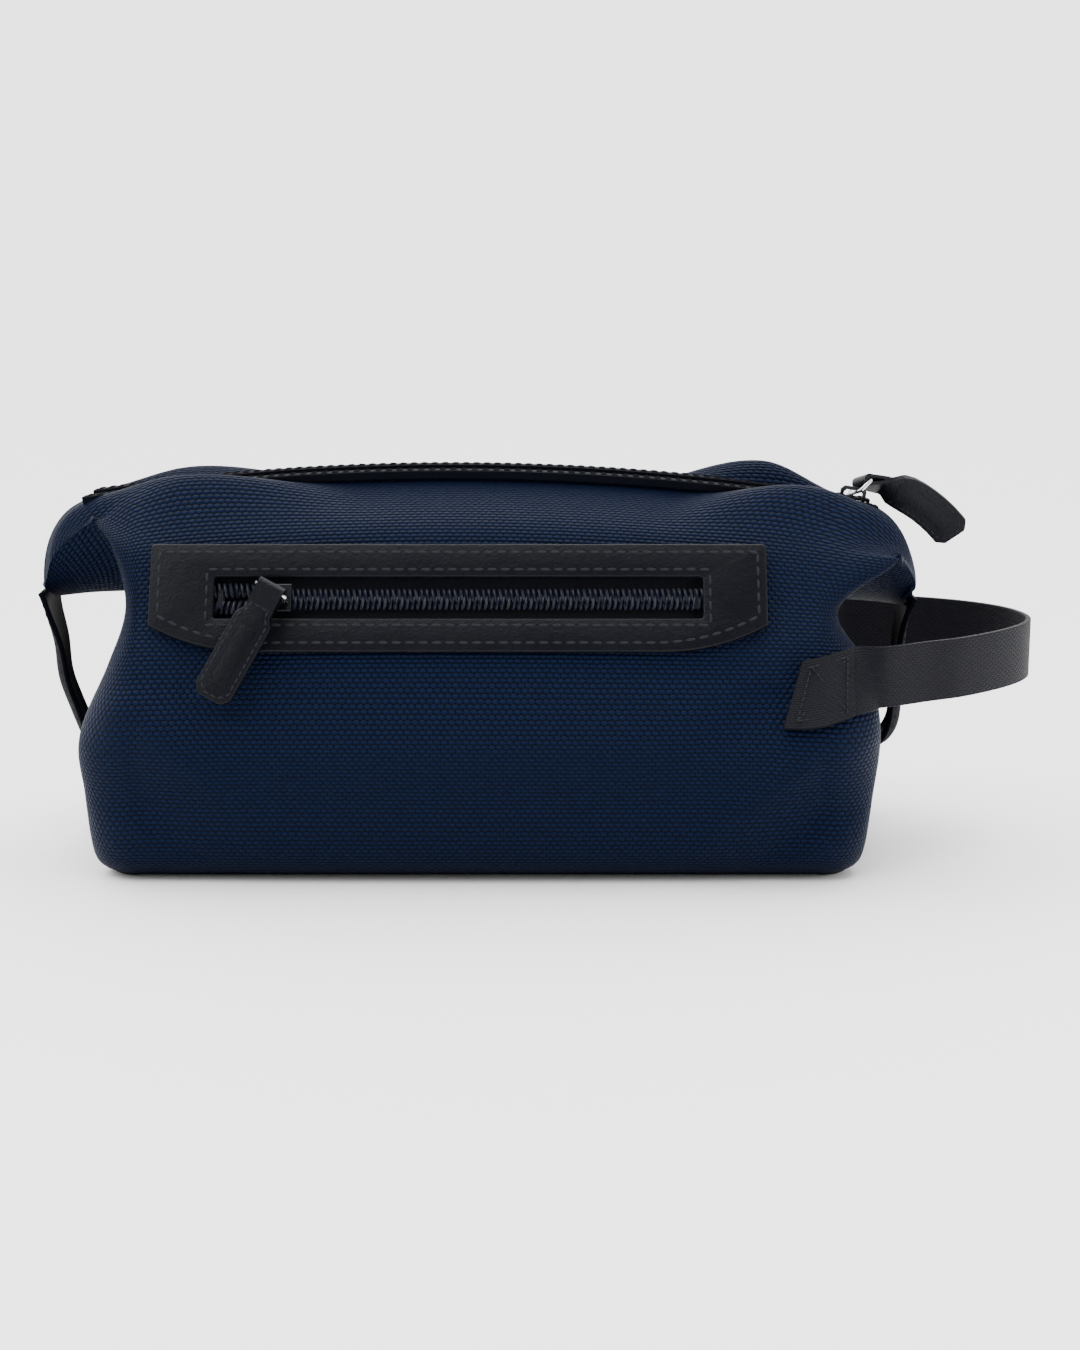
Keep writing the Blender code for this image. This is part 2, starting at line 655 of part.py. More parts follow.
POCKET_LIFT = 1.2
zip_plane = empty_at("pocket_zip_plane", (0.0, 0.0, POCKET_LIFT), parent=pocket_plane)
tape_x, coil_x = cut_x - 2.0, WINDOW_LENGTH / 2 - 1.0
for low, high, word in ((COIL_IN, cut_y - 1.0, "upper"), (1.0 - cut_y, -COIL_IN, "lower")):
    block(f"pocket_tape_{word}", (-tape_x, low, TAPE_TOP - TAPE), (tape_x, high, TAPE_TOP), 0.0, BLACK_TAPE,
          zip_plane)
for low, high, word in ((COIL_IN, COIL_OUT, "upper"), (-COIL_OUT, -COIL_IN, "lower")):
    block(f"pocket_coil_{word}", (-coil_x + 3.0, low, COIL_TOP - COIL_THICK), (coil_x - 3.0, high, COIL_TOP),
          0.4, ZIP_COIL, zip_plane, 1)
for x, word in ((-coil_x + 1.0, "left"), (coil_x - 1.0, "right")):
    block(f"pocket_stop_{word}", (x - 1.2, -COIL_OUT, TAPE_TOP + 0.2), (x + 1.2, COIL_OUT, COIL_TOP), 0.4,
          NICKEL, zip_plane, 1)
block("pocket_bag", (-cut_x - 5.0, 6.0 - POCKET_FLAT / 2, -4.9), (cut_x + 5.0, POCKET_FLAT / 2 - 6.0, -4.2),
      0.2, GREY_LINING, pocket_plane, 1)

pocket_seat = empty_at("pocket_slider_seat", (POCKET_SLIDER_X - POCKET_X, 0.0, 0.0), parent=zip_plane)
slider("pocket_slider", pocket_seat, BLACK_METAL)
pocket_ring_axis = empty_at(
    "pocket_ring_axis", (0.0, 0.0, RING_LIFT), turned(-90.0 - POCKET_PULL_LEAN_DEG, -90.0, 0.0), pocket_seat
)
ring("pocket_ring", pocket_ring_axis, NICKEL)
pocket_pull_axis = empty_at(
    "pocket_pull_axis", (RING_REACH, 0.0, 0.0), turned(0.0, 90.0 + POCKET_PULL_DIP_DEG, 0.0), pocket_ring_axis
)
leather_pull("pocket_pull", pocket_pull_axis)


# --- Webbing hand loop --------------------------------------------------------------------------------


def route_share(x, from_share, to_share):
    """Where along the strap, between two shares of its route, it crosses x."""
    rising = spline(STRAP_ROUTE, to_share).x > spline(STRAP_ROUTE, from_share).x
    for _ in range(40):
        middle = (from_share + to_share) / 2
        short = spline(STRAP_ROUTE, middle).x < x
        if short == rising:
            from_share = middle
        else:
            to_share = middle
    return (from_share + to_share) / 2


def solve(value_at, wanted, low, high):
    """The place between low and high where a rising value is the one wanted, or the nearer end."""
    for _ in range(24):
        middle = (low + high) / 2
        if value_at(middle) < wanted:
            low = middle
        else:
            high = middle
    return (low + high) / 2


def outer_face_y(x, z):
    """How far out a long panel's face is at x near its right end; past its end edge this falls away."""
    reach, v = 0.8, 0.4
    for _ in range(5):
        reach = solve(lambda r: panel_point(1, r, v).x, x, 0.3, 1.0)
        v = solve(lambda w: panel_point(1, reach, w).z, z, 0.05, 0.75)
    p = panel_point(1, reach, v)
    return p.y - max(0.0, x - p.x - 0.5)


def strap_piece(name, shares):
    """A stretch of the webbing, which lies on the panel where it is sewn and stands upright beyond.

    Past the line that it swings about, towards the bag, the loop narrows to a round end.
    """
    last = len(shares) - 1
    swings = name == "strap_loop"

    def place(s, t):
        p = spline(STRAP_ROUTE, shares[round(s * last)])
        half = STRAP_WIDTH / 2
        if swings and p.x < STRAP_FLEX_X:
            half = math.sqrt(max(0.0, half**2 - (STRAP_FLEX_X - p.x) ** 2))
        z = STRAP_Z + mix(-half, half, t)
        out = max(abs(p.y), outer_face_y(p.x, z) + GAP + WEBBING) if p.x < STRAP_FLEX_X else abs(p.y)
        return Vector((p.x, out if p.y > 0 else -out, z)) * MM

    return sheet_object(name, place, last, 3, WEBBING, BLACK_WEBBING, flip=True)


def round_cutter(name):
    """A cylinder across the bag, about the line that the loop swings on."""
    bm = bmesh.new()
    radius = (STRAP_WIDTH / 2 + FLEX_GAP) * MM
    bmesh.ops.create_cone(bm, cap_ends=True, segments=48, radius1=radius, radius2=radius,
                          depth=3 * HALF_DEPTH * MM)
    turn = Matrix.Rotation(math.radians(90), 4, "X")
    bmesh.ops.transform(bm, verts=bm.verts, matrix=Matrix.Translation(Vector((STRAP_FLEX_X, 0, STRAP_Z)) * MM) @ turn)
    return object_from(name, bm, BLACK_WEBBING)


TIP_SHARE = 0.5
front_cut = route_share(STRAP_FLEX_X, 0.0, TIP_SHARE)
back_cut = route_share(STRAP_FLEX_X, TIP_SHARE, 1.0)
END_STEPS = 8
LOOP_STEPS = 24
for name, first, last in (("strap_front_end", 0.0, front_cut), ("strap_back_end", back_cut, 1.0)):
    strap_end = strap_piece(name, [mix(first, last, i / END_STEPS) for i in range(END_STEPS + 1)])
    join_solids(strap_end, round_cutter(f"{name}_cutter"), "DIFFERENCE")

round_off_x = [STRAP_FLEX_X - STRAP_WIDTH / 2 * share for share in (0.985, 0.94, 0.85, 0.68, 0.45, 0.22)]
loop_shares = [route_share(x, 0.0, TIP_SHARE) for x in round_off_x]
loop_shares += [mix(front_cut, back_cut, i / LOOP_STEPS) for i in range(LOOP_STEPS + 1)]
loop_shares += [route_share(x, TIP_SHARE, 1.0) for x in reversed(round_off_x)]
strap_piece("strap_loop", loop_shares)
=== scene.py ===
import json
import math

import bmesh
import bpy
from mathutils import Matrix, Vector


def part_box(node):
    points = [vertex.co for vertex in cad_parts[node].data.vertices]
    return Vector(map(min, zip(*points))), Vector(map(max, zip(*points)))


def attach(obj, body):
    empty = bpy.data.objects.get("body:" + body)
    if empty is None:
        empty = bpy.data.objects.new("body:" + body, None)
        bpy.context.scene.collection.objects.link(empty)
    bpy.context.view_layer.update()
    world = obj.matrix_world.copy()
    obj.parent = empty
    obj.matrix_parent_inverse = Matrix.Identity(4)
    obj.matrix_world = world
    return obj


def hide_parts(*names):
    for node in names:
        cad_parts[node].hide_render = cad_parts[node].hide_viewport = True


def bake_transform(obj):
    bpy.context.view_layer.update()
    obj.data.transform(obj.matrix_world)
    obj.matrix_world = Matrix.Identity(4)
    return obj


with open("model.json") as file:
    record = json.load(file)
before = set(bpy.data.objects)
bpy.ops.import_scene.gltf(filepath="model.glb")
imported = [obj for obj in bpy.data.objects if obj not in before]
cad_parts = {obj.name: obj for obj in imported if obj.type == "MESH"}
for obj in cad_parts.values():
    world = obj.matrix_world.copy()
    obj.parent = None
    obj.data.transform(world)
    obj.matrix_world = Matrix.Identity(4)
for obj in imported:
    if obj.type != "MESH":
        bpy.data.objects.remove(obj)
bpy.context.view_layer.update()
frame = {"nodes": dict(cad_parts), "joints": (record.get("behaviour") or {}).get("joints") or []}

MM = 0.001

# --- Camera, light and floor ---------------------------------------------------------------------------
# The bag stands on a plain pale floor in soft light from above, seen from the pocket side.

EYE = Vector((20.0, -736.0, 209.0))
EYE_TIP_DEG = 11.66
LENS = 57.9
FLOOR_HALF = 6.0
FLOOR_GAP = 0.0004


def place_camera():
    data = bpy.data.cameras.new("camera")
    data.lens = LENS
    data.sensor_width = 36.0
    data.clip_start = 0.01
    camera = bpy.data.objects.new("camera", data)
    camera.location = EYE * MM
    camera.rotation_euler = (math.radians(90.0 - EYE_TIP_DEG), 0.0, 0.0)
    bpy.context.scene.collection.objects.link(camera)
    bpy.context.scene.camera = camera


def soft_light(name, place, aim, size, power):
    data = bpy.data.lights.new(name, "AREA")
    data.shape = "RECTANGLE"
    data.size = size[0] * MM
    data.size_y = size[1] * MM
    data.energy = power
    lamp = bpy.data.objects.new(name, data)
    lamp.location = Vector(place) * MM
    lamp.rotation_euler = ((Vector(aim) - Vector(place)) * MM).to_track_quat("-Z", "Y").to_euler()
    bpy.context.scene.collection.objects.link(lamp)


def overhead_light(towards, spread_deg, strength):
    data = bpy.data.lights.new("light_overhead", "SUN")
    data.angle = math.radians(spread_deg)
    data.energy = strength
    lamp = bpy.data.objects.new("light_overhead", data)
    lamp.rotation_euler = towards.to_track_quat("Z", "Y").to_euler()
    bpy.context.scene.collection.objects.link(lamp)


def lay_floor():
    bm = bmesh.new()
    bmesh.ops.create_grid(bm, x_segments=2, y_segments=2, size=FLOOR_HALF)
    mesh = bpy.data.meshes.new("floor")
    bm.to_mesh(mesh)
    bm.free()
    floor = bpy.data.objects.new("floor", mesh)
    floor.data.transform(Matrix.Translation((0.0, 0.0, -FLOOR_GAP)))
    bpy.context.scene.collection.objects.link(floor)
    material = bpy.data.materials.new("pale_floor")
    material.use_nodes = True
    shader = material.node_tree.nodes["Principled BSDF"]
    shader.inputs["Base Color"].default_value = (0.93, 0.93, 0.935, 1.0)
    shader.inputs["Roughness"].default_value = 0.9
    mesh.materials.append(material)


def light_room():
    """A white room, dim behind the camera and bright beyond the bag."""
    world = bpy.data.worlds.new("pale_room")
    world.use_nodes = True
    nodes = world.node_tree.nodes
    link = world.node_tree.links.new
    nodes["Background"].inputs["Color"].default_value = (1.0, 1.0, 1.0, 1.0)
    direction = nodes.new("ShaderNodeTexCoord")
    parts = nodes.new("ShaderNodeSeparateXYZ")
    strength = nodes.new("ShaderNodeMapRange")
    link(direction.outputs["Generated"], parts.inputs[0])
    link(parts.outputs["Y"], strength.inputs["Value"])
    link(strength.outputs[0], nodes["Background"].inputs["Strength"])
    for name, value in (("From Min", -0.2), ("From Max", 0.6), ("To Min", 0.24), ("To Max", 3.0)):
        strength.inputs[name].default_value = value
    bpy.context.scene.world = world


place_camera()
overhead_light(Vector((-0.18, 0.12, 1.0)), 85.0, 6.2)
soft_light("light_left", (-700.0, -500.0, 600.0), (0.0, 0.0, 60.0), (700.0, 700.0), 5.0)
soft_light("light_right", (800.0, -450.0, 350.0), (0.0, 0.0, 60.0), (500.0, 700.0), 5.0)
lay_floor()
light_room()

# --- The long cloth panels -----------------------------------------------------------------------------
# One cloth at the front and one at the back, of navy nylon in a coarse basket weave. Each runs from the
# base seam to the zip, is sewn to the end gussets along an arch, and folds out into a wing at both ends.

HALF_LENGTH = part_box("front_panel_right_end")[1].x / MM - 21.0
HALF_DEPTH = 59.0
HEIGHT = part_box("front_panel")[1].z / MM
CLOTH = 1.6
RIDGE_RADIUS = 850.0
RIDGE_PEAK_X = -10.0
RIDGE_HALF = 133.0
WING_REACH = {-1: 20.5, 1: 16.5}
WING_DROP = {-1: 39.0, 1: 43.0}
MOUTH_HALF = 7.4
BOW = 3.5
END_BEND = 17.0
POCKET_FLAT = 46.0
POCKET_TOP = Vector((32.0, HEIGHT - 16.5))
TILT = math.asin((HALF_DEPTH - 6.5 - POCKET_TOP.x) / POCKET_FLAT)
POCKET_LOW = POCKET_TOP + Vector((math.sin(TILT), -math.cos(TILT))) * POCKET_FLAT
POCKET_MID = (POCKET_TOP + POCKET_LOW) / 2
SECTION = [
    (HALF_DEPTH - 10.0, 0.3),
    (HALF_DEPTH - 2.5, 7.0),
    (HALF_DEPTH, 0.5 * POCKET_LOW.y - 7.0),
    (HALF_DEPTH, 0.5 * POCKET_LOW.y + 12.0),
    tuple(POCKET_LOW),
    tuple(POCKET_MID),
    tuple(POCKET_TOP),
    (18.5, HEIGHT - 5.6),
    (MOUTH_HALF, HEIGHT),
]
# The cloth's roll beside the zip, by face and side: its height where it is full and at the wing's end, and
# how far from the middle it starts, is full and ends.
CREST = {
    (-1, -1): (9.5, 1.5, 40.0, 116.0, 158.0),
    (-1, 1): (9.5, 1.5, 66.0, 116.0, 156.0),
    (1, -1): (9.0, 1.5, 50.0, 118.0, 158.0),
    (1, 1): (13.0, 4.0, 52.0, 104.0, 134.0),
}
# The end seam from the base to the ridge: how far out along x, and how far in from the panel's face.
EDGE_X = {-1: [-5.0, -1.0, 1.0, 2.0, -7.0, -12.0, -7.5, 0.5, 0.0],
          1: [-5.0, -1.5, 1.0, 3.0, -1.0, -10.0, 9.0, 13.0, 0.0]}
EDGE_IN = [11.0, 11.0, 11.0, 11.0, 12.0, 9.0, 4.0, 0.0, 0.0]
APEX_V = {-1: 6.95 / 8.0, 1: 6.2 / 8.0}
# Soft folds of the cloth: middle x and z, lean in radians, width and depth.
FOLDS = [
    (106.0, 42.0, 0.85, 7.0, 2.6), (118.0, 30.0, 0.8, 5.0, -1.8), (-104.0, 52.0, -0.75, 8.0, 1.6),
    (-118.0, 38.0, -0.7, 6.0, -1.2), (92.0, 60.0, 0.9, 9.0, -1.6),
]
FOLD_LENGTH = 32.0
POCKET_CALM_HALF = 96.0


def ease(t):
    t = min(1.0, max(0.0, t))
    return t * t * (3.0 - 2.0 * t)


def mix(a, b, t):
    return a + (b - a) * t


def spline(points, t):
    """A smooth curve through the points, t from 0 to 1 along them."""
    last = len(points) - 1
    place = min(max(t, 0.0), 1.0) * last
    i = min(int(place), last - 1)
    f = place - i
    p1, p2 = Vector(points[i]), Vector(points[i + 1])
    p0 = Vector(points[i - 1]) if i > 0 else p1 * 2 - p2
    p3 = Vector(points[i + 2]) if i + 2 <= last else p2 * 2 - p1
    slope_in, slope_out = (p2 - p0) / 2, (p3 - p1) / 2
    return (
        p1 * (2 * f**3 - 3 * f**2 + 1)
        + slope_in * (f**3 - 2 * f**2 + f)
        + p2 * (3 * f**2 - 2 * f**3)
        + slope_out * (f**3 - f**2)
    )


def bezier(p0, p1, p2, p3, t):
    r = 1.0 - t
    return p0 * r**3 + p1 * 3 * r * r * t + p2 * 3 * r * t * t + p3 * t**3


def ridge_z(x):
    return HEIGHT - RIDGE_RADIUS + math.sqrt(RIDGE_RADIUS**2 - (x - RIDGE_PEAK_X) ** 2)


def wing_tip(side):
    return Vector((side * (HALF_LENGTH + WING_REACH[side]), 0.0, HEIGHT - WING_DROP[side]))


def ridge_point(side, reach):
    """The top edge from the middle of the bag (reach 0) to the wing tip on that side (reach 1)."""
    bend = 0.8
    if reach <= bend:
        x = side * RIDGE_HALF * reach / bend
        return Vector((x, 0.0, ridge_z(x)))
    end = wing_tip(side)
    start = Vector((side * RIDGE_HALF, 0.0, ridge_z(side * RIDGE_HALF)))
    fall = start.z - end.z
    return bezier(
        start,
        start + Vector((side * 0.55 * (abs(end.x) - RIDGE_HALF), 0.0, -0.1 * fall)),
        end + Vector((side * 0.5, 0.0, 0.6 * fall)),
        end,
        (reach - bend) / (1 - bend),
    )


def ridge_away(side, reach):
    """The direction away from the bag at the top edge, square to that edge."""
    step = ridge_point(side, min(1.0, reach + 0.004)) - ridge_point(side, max(0.0, reach - 0.004))
    return Vector((-side * step.z, 0.0, side * step.x)).normalized()


def crest(face, side, reach):
    """How far the cloth rolls up beside the zip, which sinks between two rolls near the ends."""
    peak, far, start, full, end = CREST[(face, side)]
    x = reach * RIDGE_HALF / 0.8
    return mix(peak * ease((x - start) / (full - start)), far, ease((x - full) / (end - full)))


def slack(x, z, face):
    """Soft folds and hollows of the cloth, in mm outwards."""
    hollow = 1.2 * math.sin(x / 47.0 + 0.6 * face) * math.sin(z / 39.0 + x / 130.0)
    drape = 0.0
    for fold_x, fold_z, lean, wide, deep in FOLDS:
        along = (x - fold_x) * math.sin(lean) + (z - fold_z) * math.cos(lean)
        across = (x - fold_x) * math.cos(lean) - (z - fold_z) * math.sin(lean)
        drape += deep * math.exp(-((across / wide) ** 2) - (along / FOLD_LENGTH) ** 2)
    calm = ease(z / 14.0) * ease((HEIGHT - 8.0 - z) / 20.0)
    return (0.7 * hollow + 1.5 * drape) * calm


def section_point(x, v, face=-1, side=0):
    """A point of a long panel's outer face away from its ends, with y counted outwards."""
    y, z = spline(SECTION, v)
    sag = (HEIGHT - ridge_z(x)) * ease((z - 0.4 * HEIGHT) / (0.6 * HEIGHT))
    bow = BOW * math.sin(math.pi * min(1.0, v / 0.5)) * (1 - (x / HALF_LENGTH) ** 2)
    loose = 1.0
    if face < 0 and 0.45 < v < 0.78:
        beside_pocket = ease((abs(x + 6.0) - POCKET_CALM_HALF) / 14.0)
        loose = max(beside_pocket, ease((0.5 - v) / 0.05), ease((v - 0.76) / 0.05))
    return Vector((x, y + bow + loose * slack(x, z, face), z - sag))


def end_point(side, v, face=-1):
    """A panel's end edge: up the arch to its apex, then out along the wing's lower edge to the tip."""
    apex_v = APEX_V[side]
    if v <= apex_v:
        dx = spline([(e, 0) for e in EDGE_X[side]], v).x
        inset = spline([(e, 0) for e in EDGE_IN], v).x
        p = section_point(side * (HALF_LENGTH + dx), v, face)
        return Vector((p.x, p.y - inset, p.z))
    apex = end_point(side, apex_v, face)
    end = wing_tip(side) + Vector((0.0, MOUTH_HALF, 0.0))
    s = (v - apex_v) / (1 - apex_v)
    return apex.lerp(end, s) + Vector((side * 3.0 * math.sin(math.pi * s), 0.0, 0.0))


def panel_point(side, reach, v, face=-1):
    """A long panel from the middle of the bag (reach 0) to the end edge on that side (reach 1)."""
    if v >= 0.9999:
        p = ridge_point(side, reach)
        return Vector((p.x, MOUTH_HALF, p.z))
    t = ease((v - APEX_V[side]) / (1 - APEX_V[side]))
    straight = mix(HALF_LENGTH - END_BEND, RIDGE_HALF, t)
    bend = 0.8
    if reach <= bend:
        return section_point(side * straight * reach / bend, v, face)
    start = section_point(side * straight, v, face)
    end = end_point(side, v, face)
    span = abs(end.x - start.x)
    pull = Vector((-side * 0.5, 5.0, 0.0)).lerp(Vector((side * 0.5, 0.0, 14.0)), t)
    if v >= APEX_V[side]:
        pull.y = 0.0
    along = Vector((side * 0.6 * span, 0.0, -0.08 * span))
    return bezier(start, start + along, end + pull, end, (reach - bend) / (1 - bend))


def cloth_point(side, reach, v, face):
    """The panel with its roll beside the zip."""
    p = panel_point(side, reach, v, face)
    on_wing = ease((reach - 0.8) / 0.15)
    middle = mix(0.885, 0.94, on_wing)
    width = mix(0.075, 0.05, on_wing)
    rise = math.exp(-(((v - middle) / width) ** 2)) * ease((1.0 - v) / 0.06)
    return p + ridge_away(side, reach) * crest(face, side, reach) * rise


def new_material(name, base, roughness, metallic=0.0):
    """A material, its shader, and two functions that add a node to it and link two sockets."""
    material = bpy.data.materials.new(name)
    material.use_nodes = True
    tree = material.node_tree
    shader = tree.nodes["Principled BSDF"]
    shader.inputs["Base Color"].default_value = (*base, 1.0)
    shader.inputs["Roughness"].default_value = roughness
    shader.inputs["Metallic"].default_value = metallic

    def add(kind, inputs=(), **settings):
        node = tree.nodes.new(kind)
        for key, value in settings.items():
            setattr(node, key, value)
        for key, value in dict(inputs).items():
            if isinstance(value, bpy.types.NodeSocket):
                tree.links.new(value, node.inputs[key])
            else:
                node.inputs[key].default_value = value
        return node

    return material, shader, add, tree.links.new


def math_node(add, operation, a, b=0.0):
    return add("ShaderNodeMath", {0: a, 1: b}, operation=operation).outputs[0]


def grains(add, place, pitch, row):
    """Rounded grains in offset rows, 0 between them and 1 on their crowns; sizes are the UV map's mm."""
    parts = add("ShaderNodeSeparateXYZ", {0: place}).outputs
    level = math_node(add, "DIVIDE", parts["Y"], row)
    shift = math_node(add, "MULTIPLY", math_node(add, "FLOOR", level), 0.5)
    along = math_node(add, "ADD", math_node(add, "DIVIDE", parts["X"], pitch), shift)
    across = math_node(add, "SUBTRACT", math_node(add, "FRACT", level), 0.5)
    along = math_node(add, "SUBTRACT", math_node(add, "FRACT", along), 0.5)
    spread = math_node(add, "ADD", math_node(add, "MULTIPLY", along, along),
                       math_node(add, "MULTIPLY", across, across))
    dome = math_node(add, "SUBTRACT", 1.0, math_node(add, "MULTIPLY", spread, 3.7))
    return math_node(add, "POWER", math_node(add, "MAXIMUM", dome, 0.0), 0.55)


def woven(name, thread, gap_shade, pitch, row, rough, bump, wander=0.3):
    """Cloth woven in offset floats: pitch along the cloth by row across it, in mm of the UV map."""
    material, shader, add, link = new_material(name, thread, rough)
    cloth = add("ShaderNodeUVMap", uv_map="weave").outputs[0]
    wave = add("ShaderNodeTexNoise", {"Vector": cloth, "Scale": 0.35, "Detail": 2.0})
    moved = add("ShaderNodeVectorMath", {0: wave.outputs["Color"], 1: (0.5, 0.5, 0.5)},
                operation="SUBTRACT")
    moved = add("ShaderNodeVectorMath", {0: moved.outputs[0], 3: wander}, operation="SCALE")
    spot = add("ShaderNodeVectorMath", {0: cloth, 1: moved.outputs[0]}, operation="ADD").outputs[0]
    raised = grains(add, spot, pitch, row)
    fine = add("ShaderNodeTexNoise", {"Vector": cloth, "Scale": 4.0, "Detail": 3.0})
    height = math_node(add, "ADD", raised, math_node(add, "MULTIPLY", fine.outputs["Fac"], 0.15))
    bumped = add("ShaderNodeBump", {"Height": height, "Strength": 1.0, "Distance": bump * MM})
    link(bumped.outputs[0], shader.inputs["Normal"])
    # The colour runs from a dark gap colour in the valleys between the grains to the thread colour on their
    # crowns; the darker gaps are painted shade between the floats.
    tint = add("ShaderNodeMix", {"Factor": raised}, data_type="RGBA")
    tint.inputs[6].default_value = (*gap_shade, 1.0)
    tint.inputs[7].default_value = (*thread, 1.0)
    uneven = add("ShaderNodeMapRange", {"Value": wave.outputs["Fac"], 3: 0.75, 4: 1.25})
    scaled = add("ShaderNodeVectorMath", {0: tint.outputs[2], 3: uneven.outputs[0]}, operation="SCALE")
    link(scaled.outputs[0], shader.inputs["Base Color"])
    shader.inputs["Specular IOR Level"].default_value = 0.09
    shader.inputs["Specular Tint"].default_value = (0.5, 0.7, 1.0, 1.0)
    return material


# The second colour is painted shade for the gaps between the weave's grains, not a second thread colour.
shell_cloth = woven("navy_basket_weave", (0.0019, 0.0052, 0.024), (0.0003, 0.0006, 0.0024),
                    pitch=2.3, row=1.3, rough=0.55, bump=0.6)


def finish_piece(name, bm, material, body=None, smooth=True):
    mesh = bpy.data.meshes.new(name)
    bm.to_mesh(mesh)
    bm.free()
    mesh.materials.append(material)
    piece = bpy.data.objects.new(name, mesh)
    bpy.context.scene.collection.objects.link(piece)
    if smooth:
        mesh.shade_smooth()
        mesh.set_sharp_from_angle(angle=math.radians(42.0))
    if body:
        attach(piece, body)
    return piece


def cloth_grid(place, across, up, flip=False, mirror=1):
    """A sheet through place(s, t), with its UV map in millimetres along the cloth."""
    bm = bmesh.new()
    bmesh.ops.create_grid(bm, x_segments=across, y_segments=up, size=0.5)
    bm.verts.ensure_lookup_table()
    spots = {vert.index: (vert.co.x + 0.5, vert.co.y + 0.5) for vert in bm.verts}
    length = sum((place(0.0, (i + 1) / 20) - place(0.0, i / 20)).length for i in range(20))
    width = sum((place((i + 1) / 20, 0.4) - place(i / 20, 0.4)).length for i in range(20))
    layer = bm.loops.layers.uv.new("weave")
    for cell in bm.faces:
        for loop in cell.loops:
            s, t = spots[loop.vert.index]
            loop[layer].uv = (mirror * s * width, t * length)
    for vert in bm.verts:
        vert.co = place(*spots[vert.index]) * MM
    if flip:
        bmesh.ops.reverse_faces(bm, faces=bm.faces)
    return bm


def thicken(piece, thickness, offset=-1.0):
    thick = piece.modifiers.new("thickness", "SOLIDIFY")
    thick.thickness = thickness * MM
    thick.offset = offset
    evaluated = piece.evaluated_get(bpy.context.evaluated_depsgraph_get())
    solid = bpy.data.meshes.new_from_object(evaluated)
    piece.modifiers.clear()
    piece.data = solid
    solid.set_sharp_from_angle(angle=math.radians(42.0))
    return piece


WINDOW_CUT_X = -6.4
WINDOW_CUT_HALF = (83.0, 11.0)


def swing_with(piece):
    """Bakes the piece's placement into its mesh."""
    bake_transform(piece)


def behind_window(p):
    """Whether a point of the front cloth lies where the pocket's window is cut in it."""
    off_middle = math.hypot(p.y + POCKET_MID.x, p.z - POCKET_MID.y)
    return abs(p.x - WINDOW_CUT_X) < WINDOW_CUT_HALF[0] and off_middle < WINDOW_CUT_HALF[1]


def long_panel(face, side):
    word = "front" if face < 0 else "back"
    hand = "left" if side < 0 else "right"

    def place(s, t):
        p = cloth_point(side, s, t, face)
        return Vector((p.x, face * p.y, p.z))

    bm = cloth_grid(place, 84, 96, flip=(face > 0) != (side < 0), mirror=side)
    if face < 0:
        behind = [f for f in bm.faces if behind_window(f.calc_center_median() / MM)]
        bmesh.ops.delete(bm, geom=behind, context="FACES")
    piece = finish_piece(f"{word}_cloth_{hand}", bm, shell_cloth)
    thicken(piece, CLOTH)
    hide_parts(f"{word}_panel", f"{word}_panel_{hand}_end")
    swing_with(piece)


for face in (-1, 1):
    for side in (-1, 1):
        long_panel(face, side)

# --- The end gussets -----------------------------------------------------------------------------------
# The same cloth closes each end. It stands full at the base, is pushed in under the wing, and comes out
# again as the floor of the wing, so that the bag folds flat there like a carton.

GUSSET_LINE = [
    (-7.0, 1.0), (-1.5, 10.0), (2.0, 26.0), (2.5, 42.0), (-2.0, 56.0), (-12.0, 69.0), (-22.0, 79.0),
    (-27.0, 83.5), (-24.0, 85.5), (-12.0, 86.0), (4.0, 85.5), (18.0, 84.0),
]
GUSSET_TOP = 88.0


def gusset(side):
    word = "left" if side < 0 else "right"

    def place(s, t):
        edge = cloth_point(side, 1.0, t, -1 if s < 0.5 else 1)
        line = spline(GUSSET_LINE, t)
        lift = 0.8 * (HEIGHT - WING_DROP[side] - GUSSET_TOP) * t
        middle = Vector((side * (HALF_LENGTH + line.x), 0.0, line.y + lift))
        across = 2.0 * s - 1.0
        share = abs(across) ** mix(2.6, 1.3, ease((t - 0.35) / 0.4))
        p = middle.lerp(edge, share)
        inward = 5.0 * math.sin(math.pi * abs(across)) * ease((t - 0.45) / 0.2) * ease((1.0 - t) / 0.2)
        return Vector((p.x - side * inward, abs(edge.y) * across * (1 - 0.015 * t), p.z))

    bm = cloth_grid(place, 60, 80, flip=side < 0)
    piece = finish_piece(f"{word}_gusset_cloth", bm, shell_cloth, "bag")
    thicken(piece, CLOTH)
    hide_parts(f"{word}_gusset")


gusset(-1)
gusset(1)

# --- Lining and base board -----------------------------------------------------------------------------
# A thin grey nylon lining behind both long panels and the pocket, and a stiff board over the bottom panel
# that keeps the base flat. They are seen only when the mouth is open, so the CAD pieces stay.


def plain(name, colour, roughness, metallic=0.0, bump=0.0, scale=900.0, gloss=0.5):
    material, shader, add, link = new_material(name, colour, roughness, metallic)
    shader.inputs["Specular IOR Level"].default_value = gloss
    if bump:
        spot = add("ShaderNodeTexCoord").outputs["Object"]
        grain = add("ShaderNodeTexNoise", {"Vector": spot, "Scale": scale, "Detail": 4.0})
        bumped = add("ShaderNodeBump", {"Height": grain.outputs["Fac"], "Distance": bump * MM})
        link(bumped.outputs[0], shader.inputs["Normal"])
    return material


def dress(material, *nodes):
    for node in nodes:
        mesh = frame["nodes"][node].data
        mesh.materials.clear()
        mesh.materials.append(material)


lining_cloth = plain("grey_lining", (0.035, 0.037, 0.045), 0.6, 0.0, 0.08, 2500.0)
dress(lining_cloth, "front_lining", "back_lining", "pocket_bag")
dress(plain("grey_board", (0.12, 0.11, 0.1), 0.8), "base_board")
dress(shell_cloth, "bottom_panel")
